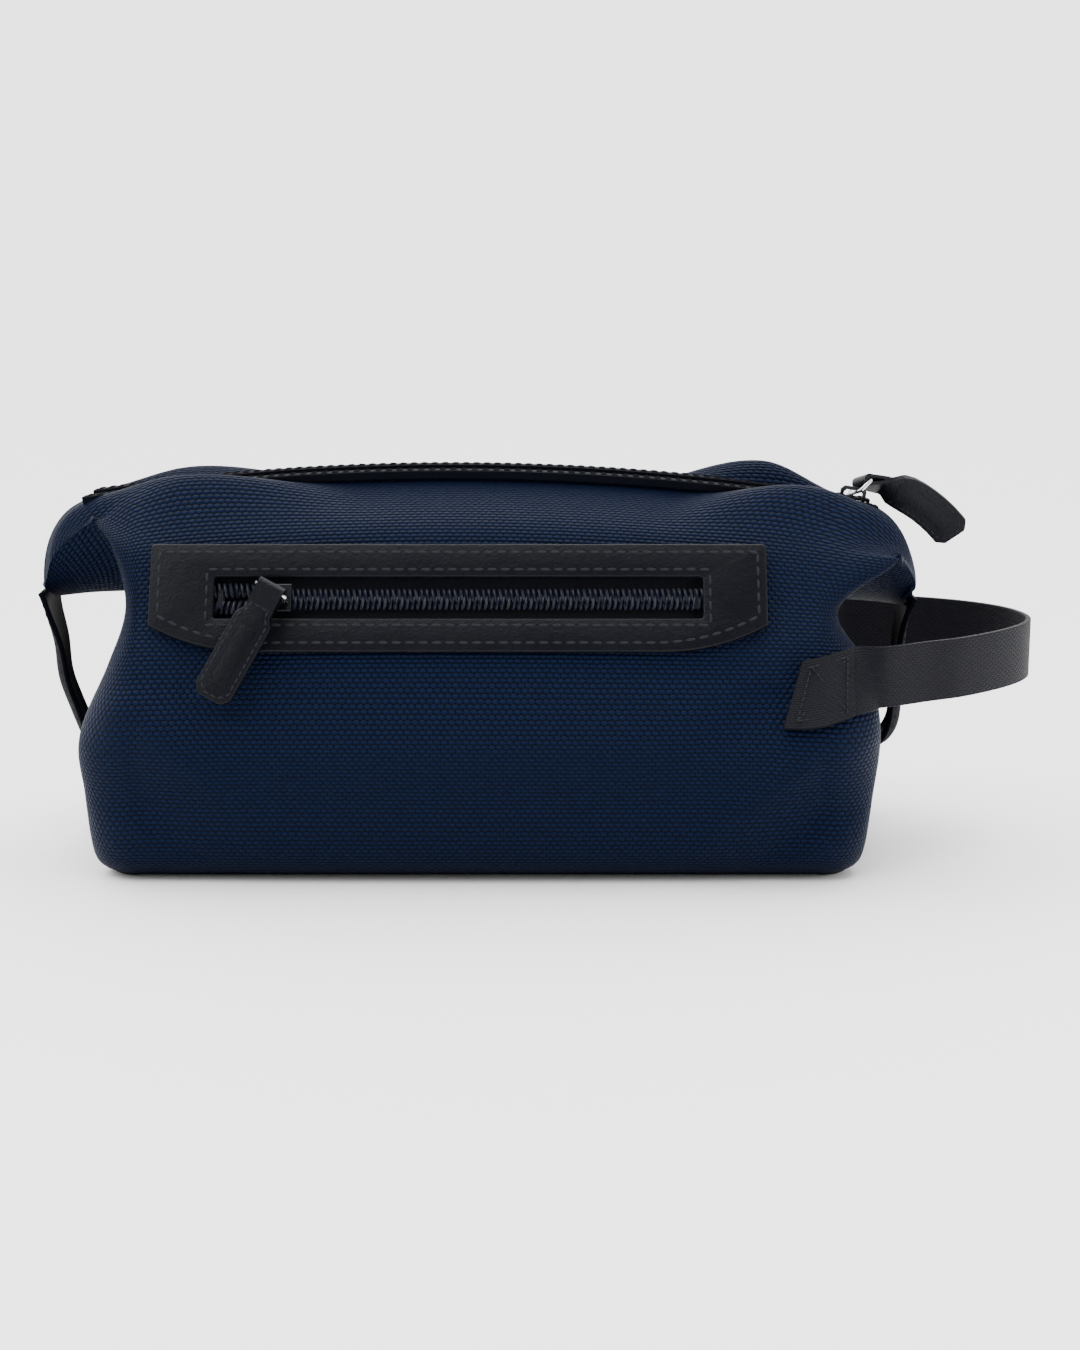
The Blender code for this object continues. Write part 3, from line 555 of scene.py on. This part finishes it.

# --- Top zip -------------------------------------------------------------------------------------------
# Two black woven tapes carry a nylon coil each, sewn along the top edges under narrow leather trims. Each
# side is made in a left and a right half.

TRIM_IN = 6.0
TRIM_OUT = 13.0
COIL_IN, COIL_OUT = -0.85, 3.3
COIL_RISE = 0.8
COIL_MIDDLE = -1.5
COIL_PITCH = 1.8
COIL_WIRE = 0.5
TAPE_UP = -2.7
ZIP_REACH = 0.955
TRIM_REACH = 0.8
TRIM_BOTTOM = -1.2
TRIM_THICK = 2.6
TRIM_STITCH = 2.4
TRIM_PITCH = 3.6
STOP_REACHES = (0.958, 0.965, 0.972)


def leather_named(name, base, roughness, bump, shine):
    """Smooth-grained leather: a fine pebble, faint creases and a patchy gloss."""
    material, shader, add, link = new_material(name, base, roughness)
    spot = add("ShaderNodeTexCoord").outputs["Object"]
    pebble = add("ShaderNodeTexVoronoi", {"Vector": spot, "Scale": 1500.0}, feature="SMOOTH_F1")
    crease = add("ShaderNodeTexNoise", {"Vector": spot, "Scale": 260.0, "Detail": 5.0, "Roughness": 0.6})
    creases = math_node(add, "MULTIPLY", crease.outputs["Fac"], 1.5)
    height = math_node(add, "ADD", pebble.outputs["Distance"], creases)
    bumped = add("ShaderNodeBump", {"Height": height, "Distance": bump * MM})
    link(bumped.outputs[0], shader.inputs["Normal"])
    patch = add("ShaderNodeTexNoise", {"Vector": spot, "Scale": 55.0, "Detail": 3.0})
    gloss = add("ShaderNodeMapRange",
                {"Value": patch.outputs["Fac"], 3: roughness - 0.1, 4: roughness + 0.12})
    link(gloss.outputs[0], shader.inputs["Roughness"])
    shader.inputs["Specular IOR Level"].default_value = shine
    return material


leather = leather_named("black_leather", (0.0016, 0.0021, 0.0042), 0.42, 0.12, 0.13)
matt_leather = leather_named("matt_leather", (0.0016, 0.0021, 0.0042), 0.7, 0.12, 0.03)
thread = plain("black_thread", (0.004, 0.0045, 0.007), 0.7, gloss=0.03)
zip_tape = plain("zip_tape", (0.0022, 0.0025, 0.004), 0.8, 0.0, 0.15, 2200.0, 0.1)
zip_coil = plain("zip_coil", (0.003, 0.0045, 0.012), 0.4, gloss=0.2)
nickel = plain("bright_nickel", (0.62, 0.62, 0.64), 0.22, 1.0)
black_metal = plain("black_metal", (0.025, 0.026, 0.03), 0.3, 1.0)


def ridge_stations(side, reach_to, count):
    found = []
    for i in range(count + 1):
        reach = reach_to * i / count
        found.append((ridge_point(side, reach), ridge_away(side, reach)))
    return found


def swept(name, face, outline, stations, material):
    """A closed outline of (out from the middle, up from the cloth) carried along the top edge."""
    bm = bmesh.new()
    loops = []
    for p, away in stations:
        ring = [bm.verts.new((p + away * up + Vector((0.0, face * out, 0.0))) * MM) for out, up in outline]
        loops.append([bm.edges.new((ring[i - 1], ring[i])) for i in range(len(ring))])
        if p is stations[0][0] or p is stations[-1][0]:
            bm.faces.new(ring)
    for here, there in zip(loops, loops[1:]):
        bmesh.ops.bridge_loops(bm, edges=here + there)
    bmesh.ops.recalc_face_normals(bm, faces=bm.faces)
    return finish_piece(name, bm, material)


def wire(name, runs, radius, material):
    """Round wire or thread along runs of points, in mm."""
    curve = bpy.data.curves.new(name, "CURVE")
    curve.dimensions = "3D"
    curve.bevel_depth = radius * MM
    curve.bevel_resolution = 1
    curve.use_fill_caps = True
    for points in runs:
        run = curve.splines.new("POLY")
        run.points.add(len(points) - 1)
        for spot, p in zip(run.points, points):
            spot.co = (*(p * MM), 1.0)
    maker = bpy.data.objects.new(name, curve)
    bpy.context.scene.collection.objects.link(maker)
    bpy.context.view_layer.update()
    mesh = bpy.data.meshes.new_from_object(maker.evaluated_get(bpy.context.evaluated_depsgraph_get()))
    bpy.data.objects.remove(maker)
    bpy.data.curves.remove(curve)
    bm = bmesh.new()
    bm.from_mesh(mesh)
    bpy.data.meshes.remove(mesh)
    return finish_piece(name, bm, material)


def stitches(name, places, length, material=thread, wide=0.42, rise=0.3):
    """Separate stitches, each a small rounded grain at (point, along, up)."""
    bm = bmesh.new()
    for p, along, up in places:
        along = along.normalized()
        across = up.cross(along).normalized()
        up = along.cross(across)
        turn = Matrix((along, across, up)).transposed().to_4x4()
        size = Matrix.Diagonal((length / 2, wide, rise, 1.0))
        bmesh.ops.create_uvsphere(
            bm, u_segments=6, v_segments=5, radius=MM,
            matrix=Matrix.Translation(p * MM) @ turn @ size @ Matrix.Rotation(math.pi / 2, 4, "Y"),
        )
    return finish_piece(name, bm, material)


def along_path(points, pitch, closed=False):
    """Points spaced evenly along a path, with the direction there."""
    points = list(points) + ([points[0]] if closed else [])
    found = []
    carried = pitch / 2
    for a, b in zip(points, points[1:]):
        step = (b - a).length
        while carried < step:
            found.append((a.lerp(b, carried / step), b - a))
            carried += pitch
        carried -= step
    return found


def rounded_strip(low, high, bottom, thick):
    """A strip's outline with its top edges rounded."""
    r = min(0.5, 0.42 * thick)
    top = bottom + thick
    return [
        (low, bottom), (high, bottom), (high, top - r), (high - 0.3 * r, top - 0.3 * r),
        (high - r, top), (low + r, top), (low + 0.3 * r, top - 0.3 * r), (low, top - r),
    ]


def coil_run(face, side):
    """A nylon coil's turns along the top edge, each turn an ellipse leaning into the other coil."""
    marks = [ridge_point(side, ZIP_REACH * i / 60) for i in range(61)]
    turns = int(sum((b - a).length for a, b in zip(marks, marks[1:])) / COIL_PITCH)
    steps = 8
    middle, half = (COIL_IN + COIL_OUT) / 2, (COIL_OUT - COIL_IN) / 2
    points = []
    for k in range(turns * steps + 1):
        angle = 2 * math.pi * k / steps
        reach = max(0.0, ZIP_REACH * (k / steps - 0.25 * face * side) / turns)
        p = ridge_point(side, reach)
        away = ridge_away(side, reach)
        out = middle + half * math.cos(angle)
        up = COIL_MIDDLE + COIL_RISE * math.sin(angle)
        points.append(p + away * up + Vector((0.0, face * out, 0.0)))
    return points


for face, word in ((-1, "front"), (1, "back")):
    for side, hand in ((-1, "left"), (1, "right")):
        stations = ridge_stations(side, ZIP_REACH, 110)
        tape = swept(f"{word}_zip_tape_{hand}", face, rounded_strip(1.0, 9.5, TAPE_UP - 0.5, 0.5),
                     stations, zip_tape)
        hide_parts(f"{word}_top_tape", f"{word}_zip_{hand}_end")
        trimmed = ridge_stations(side, TRIM_REACH, 100)
        strip = rounded_strip(TRIM_IN, TRIM_OUT, TRIM_BOTTOM, TRIM_THICK)
        trim = swept(f"{word}_leather_trim_{hand}", face, strip, trimmed, matt_leather)
        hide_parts(f"{word}_top_trim", f"{word}_trim_{hand}_end")
        coil = wire(f"{word}_coil_{hand}", [coil_run(face, side)], COIL_WIRE, zip_coil)
        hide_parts(f"{word}_top_coil")
        row = []
        for out in (TRIM_IN + 1.5, TRIM_OUT - 1.5):
            path = [p + away * 1.5 + Vector((0.0, face * out, 0.0)) for p, away in trimmed]
            row += [(p, along, Vector((side * (abs(p.x) > RIDGE_HALF), 0.0, 1.0)))
                    for p, along in along_path(path, TRIM_PITCH)]
        sewn = stitches(f"{word}_trim_stitches_{hand}", row, TRIM_STITCH)
        for piece in (tape, trim, coil, sewn):
            swing_with(piece)
for side, hand in ((-1, "left"), (1, "right")):
    ends = [(ridge_point(side, reach), ridge_away(side, reach)) for reach in STOP_REACHES]
    stop = swept(f"{hand}_metal_stop", 1, rounded_strip(-3.4, 3.4, -2.6, 2.3), ends,
                 nickel)
    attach(stop, "bag")
    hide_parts(f"{hand}_zip_stop")
dress(nickel, "top_ring", "pocket_ring")
dress(black_metal, "top_slider", "pocket_slider")

# --- Zip pocket ----------------------------------------------------------------------------------------
# A leather frame sewn round the pocket's window with two rows of stitches. Its lower corners sweep up. The
# zip behind it is a tape and a coil above and below, which part to the left of the slider.

POCKET_X = (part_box("pocket_frame")[0].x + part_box("pocket_frame")[1].x) / 2 / MM
POCKET_UP = Vector((0.0, math.sin(TILT), math.cos(TILT)))
POCKET_OUT = Vector((0.0, -math.cos(TILT), math.sin(TILT)))
POCKET_CENTRE = Vector((POCKET_X, -POCKET_MID.x, POCKET_MID.y))
FRAME_HALF = (100.0, 18.25)
WINDOW_HALF = (79.0, 7.0)
FRAME_LOW, FRAME_HIGH = 0.5, 2.3
STITCH_PITCH = 4.3


def in_pocket(x, y, z):
    return POCKET_CENTRE + Vector((x, 0.0, 0.0)) + POCKET_UP * y + POCKET_OUT * z


def frame_outline(inset):
    """Round the frame from its upper left corner: the lower corners sweep up in a long curve."""
    w, h = FRAME_HALF[0] - inset, FRAME_HALF[1] - inset
    points = []
    for turn, cx, cy in ((90, w - 1.5, h - 1.5), (180, 1.5 - w, h - 1.5)):
        for i in range(5):
            angle = math.radians(turn - 90 + 90 * i / 4)
            points.append(Vector((cx + 1.5 * math.cos(angle), cy + 1.5 * math.sin(angle), 0.0)))
    for side, count in ((-1, range(13)), (1, range(12, -1, -1))):
        sweep = [Vector((side * x, y, 0.0))
                 for x, y in ((w, 9.0 - h), (w - 9.0, 4.0 - h), (w - 20.0, -h), (w - 34.0, -h))]
        points += [bezier(*sweep, i / 12) for i in count]
    return points


def window_outline(outset):
    w, h = WINDOW_HALF[0] + outset, WINDOW_HALF[1] + outset
    points = []
    for turn, x, y in ((0, 1, 1), (90, -1, 1), (180, -1, -1), (270, 1, -1)):
        for i in range(4):
            angle = math.radians(turn + 90 * i / 3)
            middle = Vector((x * (w - 0.8), y * (h - 0.8), 0.0))
            points.append(middle + Vector((math.cos(angle), math.sin(angle), 0.0)) * 0.8)
    return points


def pocket_frame():
    bm = bmesh.new()
    edges = []
    for loop in (frame_outline(0.0), window_outline(0.0)):
        ring = [bm.verts.new((p.x, p.y, FRAME_LOW)) for p in loop]
        edges += [bm.edges.new((ring[i - 1], ring[i])) for i in range(len(ring))]
    bmesh.ops.triangle_fill(bm, use_beauty=True, use_dissolve=False, edges=edges)
    grown = bmesh.ops.extrude_face_region(bm, geom=bm.faces[:])
    top = [g for g in grown["geom"] if isinstance(g, bmesh.types.BMVert)]
    bmesh.ops.translate(bm, verts=top, vec=(0.0, 0.0, FRAME_HIGH - FRAME_LOW))
    lifted = set(top)
    bm.normal_update()
    rim = [e for e in bm.edges if e.verts[0] in lifted and e.verts[1] in lifted
           and any(abs(f.normal.z) < 0.5 for f in e.link_faces)]
    bmesh.ops.bevel(bm, geom=rim, offset=0.7, segments=3, profile=0.5, affect="EDGES", material=-1)
    for vert in bm.verts:
        vert.co = in_pocket(*vert.co) * MM
    bmesh.ops.recalc_face_normals(bm, faces=bm.faces)
    piece = finish_piece("pocket_leather_frame", bm, leather, "front_side")
    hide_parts("pocket_frame")


def pocket_stitches(name, outline):
    row = []
    for p, along in along_path(outline, STITCH_PITCH, closed=True):
        spot = in_pocket(p.x, p.y, FRAME_HIGH + 0.05)
        row.append((spot, Vector((along.x, 0.0, 0.0)) + POCKET_UP * along.y, POCKET_OUT))
    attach(stitches(name, row, 3.1, pale_thread, wide=0.5, rise=0.32), "front_side")


def pocket_coil(word, half):
    """One coil of the pocket zip; left of the slider the two stand apart."""
    length = 2 * (WINDOW_HALF[0] + 1.0)
    turns = int(length / COIL_PITCH)
    steps = 8
    points = []
    for k in range(turns * steps + 1):
        angle = 2 * math.pi * k / steps
        x = -length / 2 + length * (k / steps + 0.25 * half) / turns
        apart = 1.7 * ease((-60.0 - x) / 9.0)
        out = (COIL_IN + COIL_OUT) / 2 + (COIL_OUT - COIL_IN) / 2 * math.cos(angle)
        points.append(in_pocket(x, half * (out + apart), -0.2 + COIL_RISE * math.sin(angle)))
    piece = wire(f"pocket_zip_coil_{word}", [points], COIL_WIRE, zip_coil)
    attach(piece, "front_side")
    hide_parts(f"pocket_coil_{word}")


pale_thread = plain("grey_thread", (0.011, 0.012, 0.017), 0.55, gloss=0.12)
pocket_frame()
pocket_stitches("pocket_outer_stitches", frame_outline(3.0))
pocket_stitches("pocket_inner_stitches", window_outline(2.4))
pocket_coil("upper", 1)
pocket_coil("lower", -1)
dress(zip_tape, "pocket_tape_upper", "pocket_tape_lower")
dress(black_metal, "pocket_stop_left", "pocket_stop_right")

# --- Leather zip pullers -------------------------------------------------------------------------------
# A leather strip folded through each ring, its two layers sewn together round the edge, with clipped lower
# corners and a plain pressed panel in the middle.

PULL_LENGTH = 40.0
PULL_HALF = 6.5
NECK_HALF = 4.6
NECK_LENGTH = 9.0
LAYER = 1.15
FOLD_RADIUS = 1.5
JOINTS = {joint["name"]: joint for joint in frame["joints"]}


def pull_outline(inset):
    w, end, clip = PULL_HALF - inset, PULL_LENGTH - inset, 2.4
    n = NECK_HALF - inset
    points = [(NECK_LENGTH - 4.0 + inset, n), (NECK_LENGTH - 0.5, n), (NECK_LENGTH + 2.0, w - 0.3),
              (NECK_LENGTH + 3.0, w), (end - clip - 0.4, w), (end - clip + 0.3, w - 0.4),
              (end - 0.4, w - clip + 0.3), (end, w - clip - 0.4)]
    return [Vector((x, y, 0.0)) for x, y in points] + [Vector((x, -y, 0.0)) for x, y in reversed(points)]


def pull_frame(name, reach_box):
    """The pull's own frame: x down the pull from its ring, y along the ring's bar, z out of its face."""
    joint = JOINTS[name]
    origin = Vector(joint["pos_m"]) / MM
    across = -Vector(joint["axis"]).normalized()
    low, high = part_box(reach_box)
    down = (low + high) / 2 / MM - origin
    down = (down - across * down.dot(across)).normalized()
    out = down.cross(across)
    turn = Matrix((down, across, out)).transposed().to_4x4()
    return Matrix.Translation(origin) @ turn


def drooped(place, droop_deg, twist_deg):
    """Turns a pull's own coordinates into the bag's, with the leather bowed down and twisted on the way."""

    def at(p):
        share = max(0.0, p.x) / PULL_LENGTH
        bend = math.radians(droop_deg) * share
        turn = math.radians(twist_deg) * ease(share / 0.5)
        radius = PULL_LENGTH / math.radians(droop_deg) if droop_deg else 0.0
        along = radius * math.sin(bend) if droop_deg and p.x > 0 else p.x
        down = radius * (1.0 - math.cos(bend))
        y = p.y * math.cos(turn) + p.z * math.sin(turn)
        z = p.z * math.cos(turn) - p.y * math.sin(turn)
        return place @ Vector((along + z * math.sin(bend), y, z * math.cos(bend) - down))

    return at


def leather_layer(bm, low, high, place, outline, soft=0.45):
    before = set(bm.verts)
    ring = [bm.verts.new((p.x, p.y, low)) for p in outline]
    face = bm.faces.new(ring)
    grown = bmesh.ops.extrude_face_region(bm, geom=[face])
    top = [g for g in grown["geom"] if isinstance(g, bmesh.types.BMVert)]
    bmesh.ops.translate(bm, verts=top, vec=(0.0, 0.0, high - low))
    bm.normal_update()
    lifted = set(top)
    cap = [f for f in bm.faces if all(v in lifted for v in f.verts)]
    bmesh.ops.bevel(
        bm, geom=cap[0].edges[:], offset=soft, segments=3, profile=0.5, affect="EDGES", material=-1,
    )
    fresh = [v for v in bm.verts if v not in before]
    for x in range(12, int(PULL_LENGTH), 4):
        faces = {f for v in fresh if v.is_valid for f in v.link_faces}
        parts = list(faces)
        parts += {e for f in faces for e in f.edges}
        parts += {v for f in faces for v in f.verts}
        cut = bmesh.ops.bisect_plane(bm, geom=parts, plane_co=(x, 0.0, 0.0), plane_no=(1.0, 0.0, 0.0))
        fresh += [g for g in cut["geom_cut"] if isinstance(g, bmesh.types.BMVert)]
    for vert in {v for v in bm.verts if v not in before}:
        vert.co = place(vert.co) * MM


def pull_layers(name, place, body):
    bm = bmesh.new()
    leather_layer(bm, 0.05, 0.05 + LAYER, place, pull_outline(0.0))
    leather_layer(bm, -0.05, -0.05 - LAYER, place, pull_outline(0.0))
    panel = [Vector((x, y, 0.0)) for x, y in ((14.0, 2.7), (34.5, 2.7), (34.5, -2.7), (14.0, -2.7))]
    for side in (-1, 1):
        leather_layer(bm, side * LAYER, side * (LAYER + 0.35), place, panel, 0.2)
    bmesh.ops.recalc_face_normals(bm, faces=bm.faces)
    piece = finish_piece(f"{name}_leather", bm, leather, body)
    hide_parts(name)


def pull_fold(name, place, body):
    """The strip's turn round the ring, from one layer to the other."""
    route = [(NECK_LENGTH - 2.0, 0.62)] + [
        (FOLD_RADIUS * math.sin(math.radians(a)) - 0.4, FOLD_RADIUS * math.cos(math.radians(a)))
        for a in range(20, -201, -20)
    ] + [(NECK_LENGTH - 2.0, -0.62)]
    bm = bmesh.new()
    rows = []
    for i, (x, z) in enumerate(route):
        behind = Vector(route[max(0, i - 1)])
        ahead = Vector(route[min(len(route) - 1, i + 1)])
        step = (ahead - behind).normalized()
        out = Vector((step.y, -step.x)) * (LAYER / 2)
        corners = [
            (x + end * out.x, width * NECK_HALF, z + end * out.y)
            for end, width in ((-1, -1), (-1, 1), (1, 1), (1, -1))
        ]
        ring = [bm.verts.new(place(Vector(c)) * MM) for c in corners]
        rows.append([bm.edges.new((ring[j - 1], ring[j])) for j in range(4)])
        if i in (0, len(route) - 1):
            bm.faces.new(ring)
    for here, there in zip(rows, rows[1:]):
        bmesh.ops.bridge_loops(bm, edges=here + there)
    bmesh.ops.recalc_face_normals(bm, faces=bm.faces)
    finish_piece(f"{name}_fold", bm, leather, body)


def pull_stitches(name, place, body):
    row = []
    for z in (LAYER + 0.08, -LAYER - 0.08):
        for p, along in along_path(pull_outline(1.5), 2.6, closed=True):
            spot = place(Vector((p.x, p.y, z)))
            up = (spot - place(Vector((p.x, p.y, 0.0)))).normalized()
            row.append((spot, place(Vector((p.x, p.y, z)) + along.normalized() * 0.5) - spot, up))
    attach(stitches(f"{name}_stitches", row, 1.9, pale_thread, wide=0.3, rise=0.2), body)


def leather_pull(name, joint, body, droop_deg=0.0, twist_deg=0.0):
    place = drooped(pull_frame(joint, name), droop_deg, twist_deg)
    pull_layers(name, place, body)
    pull_fold(name, place, body)
    pull_stitches(name, place, body)


leather_pull("pocket_pull", "pocket_pull_lift", "pocket_pull")
leather_pull("top_pull", "top_pull_lift", "top_pull", droop_deg=48.0, twist_deg=55.0)

# --- Wing tabs -----------------------------------------------------------------------------------------
# A doubled leather strip ties each wing tip down to a patch on the end of the bag. The left one hangs in a
# bow clear of the end; the right one drops straight and turns up in a loop at its lower end.

TAB_HALF = 13.0
TAB_ROUTES = {
    -1: [
        (20.8, 88.0), (20.5, 80.0), (18.5, 69.0), (17.5, 57.0), (14.0, 46.0), (9.5, 34.5), (5.0, 25.0),
        (4.0, 20.0),
    ],
    1: [
        (19.0, 86.0), (17.5, 78.0), (16.6, 64.0), (16.4, 50.0), (15.6, 41.0), (12.6, 35.8), (9.4, 36.8),
        (8.4, 42.0), (7.6, 50.0), (5.2, 56.0),
    ],
}


def soften(piece, width):
    """Rounds the sharp edges of a piece."""
    edge = piece.modifiers.new("soft_edges", "BEVEL")
    edge.width = width * MM
    edge.segments = 3
    edge.limit_method = "ANGLE"
    edge.angle_limit = math.radians(50.0)


def wing_tab(side, hand):
    route = TAB_ROUTES[side]

    def place(s, t):
        line = spline(route, t)
        across = mix(-1.0, 1.0, s)
        half = TAB_HALF * (1 - 0.12 * math.sin(math.pi * t))
        twist = 2.0 * across * math.sin(math.pi * t) * side
        bow = 3.0 * across**2 * math.sin(math.pi * t) ** 0.7
        return Vector((side * (HALF_LENGTH + line.x - bow) + twist, half * across, line.y))

    bm = cloth_grid(place, 10, 60, flip=side > 0)
    piece = finish_piece(f"{hand}_leather_tab", bm, matt_leather, "bag")
    thicken(piece, 1.9, 0.0)
    soften(piece, 0.5)
    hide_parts(f"{hand}_wing_tab")
    row = []
    for s in (0.09, 0.91):
        path = [place(s, i / 60) for i in range(61)]
        outward = Vector((side, 0.0, 0.2)).normalized()
        row += [(p + outward * 0.95, along, outward) for p, along in along_path(path, 3.4)]
    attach(stitches(f"{hand}_tab_stitches", row, 2.3), "bag")


wing_tab(-1, "left")
wing_tab(1, "right")
dress(leather, "left_tab_patch", "right_tab_patch")

# --- Webbing hand loop ---------------------------------------------------------------------------------
# Ribbed black webbing, doubled over where it is sewn to the front and the back with a boxed cross, runs out
# round the right end in a wide loop.

STRAP_HALF = 10.0
STRAP_Z = 66.5
STRAP_THICK = 1.8
STRAP_LINE = [
    (101.0, -52.0), (107.0, -52.5), (113.0, -52.8), (121.0, -52.5), (128.0, -51.0), (135.0, -48.0),
    (147.0, -40.5), (160.0, -33.0), (175.0, -20.0), (186.0, -6.0), (190.5, 8.0), (187.5, 24.0),
    (178.0, 37.0), (164.0, 46.5), (149.0, 52.0), (135.0, 54.5), (128.0, 54.0), (121.0, 53.5),
    (113.0, 53.0), (105.0, 53.0),
]


def solve(value_at, wanted, low, high):
    """Where a rising value reaches the one wanted, by halving."""
    for _ in range(20):
        middle = (low + high) / 2
        if value_at(middle) < wanted:
            low = middle
        else:
            high = middle
    return (low + high) / 2


def face_out(x, z, face):
    """How far out the long panel's face is at x and z near its right end."""
    reach, v = 0.8, 0.4
    for _ in range(5):
        reach = solve(lambda r: panel_point(1, r, v, face).x, x, 0.3, 1.0)
        v = solve(lambda w: panel_point(1, reach, w, face).z, z, 0.05, 0.75)
    p = panel_point(1, reach, v, face)
    return p.y - max(0.0, x - p.x - 0.5)


def strap_point(x, y, across):
    """A point of the webbing's outer face: it lies on the cloth where it is sewn."""
    z = STRAP_Z + STRAP_HALF * across - 4.0 * ease((126.0 - x) / 24.0)
    face = -1 if y < 0 else 1
    out = abs(y)
    if x < 134.0:
        lift = 0.3 + STRAP_THICK
        near = face_out(x, z, face) + lift
        out = max(mix(near, out, ease((x - 112.0) / 20.0)), near)
    return Vector((x, face * out, z))


def webbing_named(name):
    """Black webbing with fine ribs across it and a shallow twill."""
    material, shader, add, link = new_material(name, (0.003, 0.003, 0.006), 0.6)
    cloth = add("ShaderNodeUVMap", uv_map="weave").outputs[0]
    parts = add("ShaderNodeSeparateXYZ", {0: cloth}).outputs
    turned = add("ShaderNodeCombineXYZ", {"X": parts["Y"], "Y": parts["X"]}).outputs[0]
    height = grains(add, turned, 1.9, 0.85)
    bumped = add("ShaderNodeBump", {"Height": height, "Distance": 0.22 * MM})
    link(bumped.outputs[0], shader.inputs["Normal"])
    shader.inputs["Specular IOR Level"].default_value = 0.12
    return material


webbing = webbing_named("black_webbing")


def strap_strip(name, first, last, count, raise_by=0.0, slant=0.0):
    line = [Vector((x, y, 0.0)) for x, y in STRAP_LINE]

    def place(s, t):
        p = spline(line, mix(first, last, t))
        across = mix(-1.0, 1.0, s)
        shift = slant * across * ease(1.0 - (p.x - STRAP_LINE[0][0]) / 24.0) * (p.y < 0)
        q = strap_point(p.x + shift, p.y, across)
        return Vector((q.x, q.y + math.copysign(raise_by, q.y), q.z))

    bm = cloth_grid(place, 8, count, flip=first < STRAP_TURN)
    piece = finish_piece(name, bm, webbing)
    thicken(piece, STRAP_THICK)
    soften(piece, 0.35)
    return piece


FOLD_SHARE = 3.0 / (len(STRAP_LINE) - 1)
BOX_AND_CROSS = [
    [(104.5, -0.78), (118.5, -0.78), (118.5, 0.78), (104.5, 0.78), (104.5, -0.78)],
    [(104.5, -0.78), (118.5, 0.78)],
    [(104.5, 0.78), (118.5, -0.78)],
]


def sewn_point(x, across, face):
    """A point on the doubled end of the webbing, just above its face."""
    slant = 3.4 * across * ease(1.0 - (x - STRAP_LINE[0][0]) / 24.0) * (face < 0)
    p = strap_point(x + slant, face * 52.5, across)
    return Vector((p.x, p.y + face * 1.35, p.z))


STRAP_TURN = STRAP_LINE.index((190.5, 8.0)) / (len(STRAP_LINE) - 1)
front_strip = strap_strip("webbing_front", 0.0, STRAP_TURN, 90, slant=3.4)
back_strip = strap_strip("webbing_back", 1.0, STRAP_TURN, 90)
for piece, word, first in ((front_strip, "front", 0.0), (back_strip, "back", 1.0)):
    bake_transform(piece)
    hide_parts("strap_loop", f"strap_{word}_end")
    fold = strap_strip(f"webbing_{word}_fold", first, abs(first - FOLD_SHARE), 12, raise_by=1.1, slant=3.4)
    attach(fold, "bag")
    face = -1 if word == "front" else 1
    row = []
    for run in BOX_AND_CROSS:
        path = [sewn_point(a, b, face) for a, b in run]
        row += [(p, along, Vector((0.25, face, 0.15))) for p, along in along_path(path, 2.2)]
    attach(stitches(f"webbing_{word}_stitches", row, 1.9, pale_thread, 0.3, 0.3), "bag")
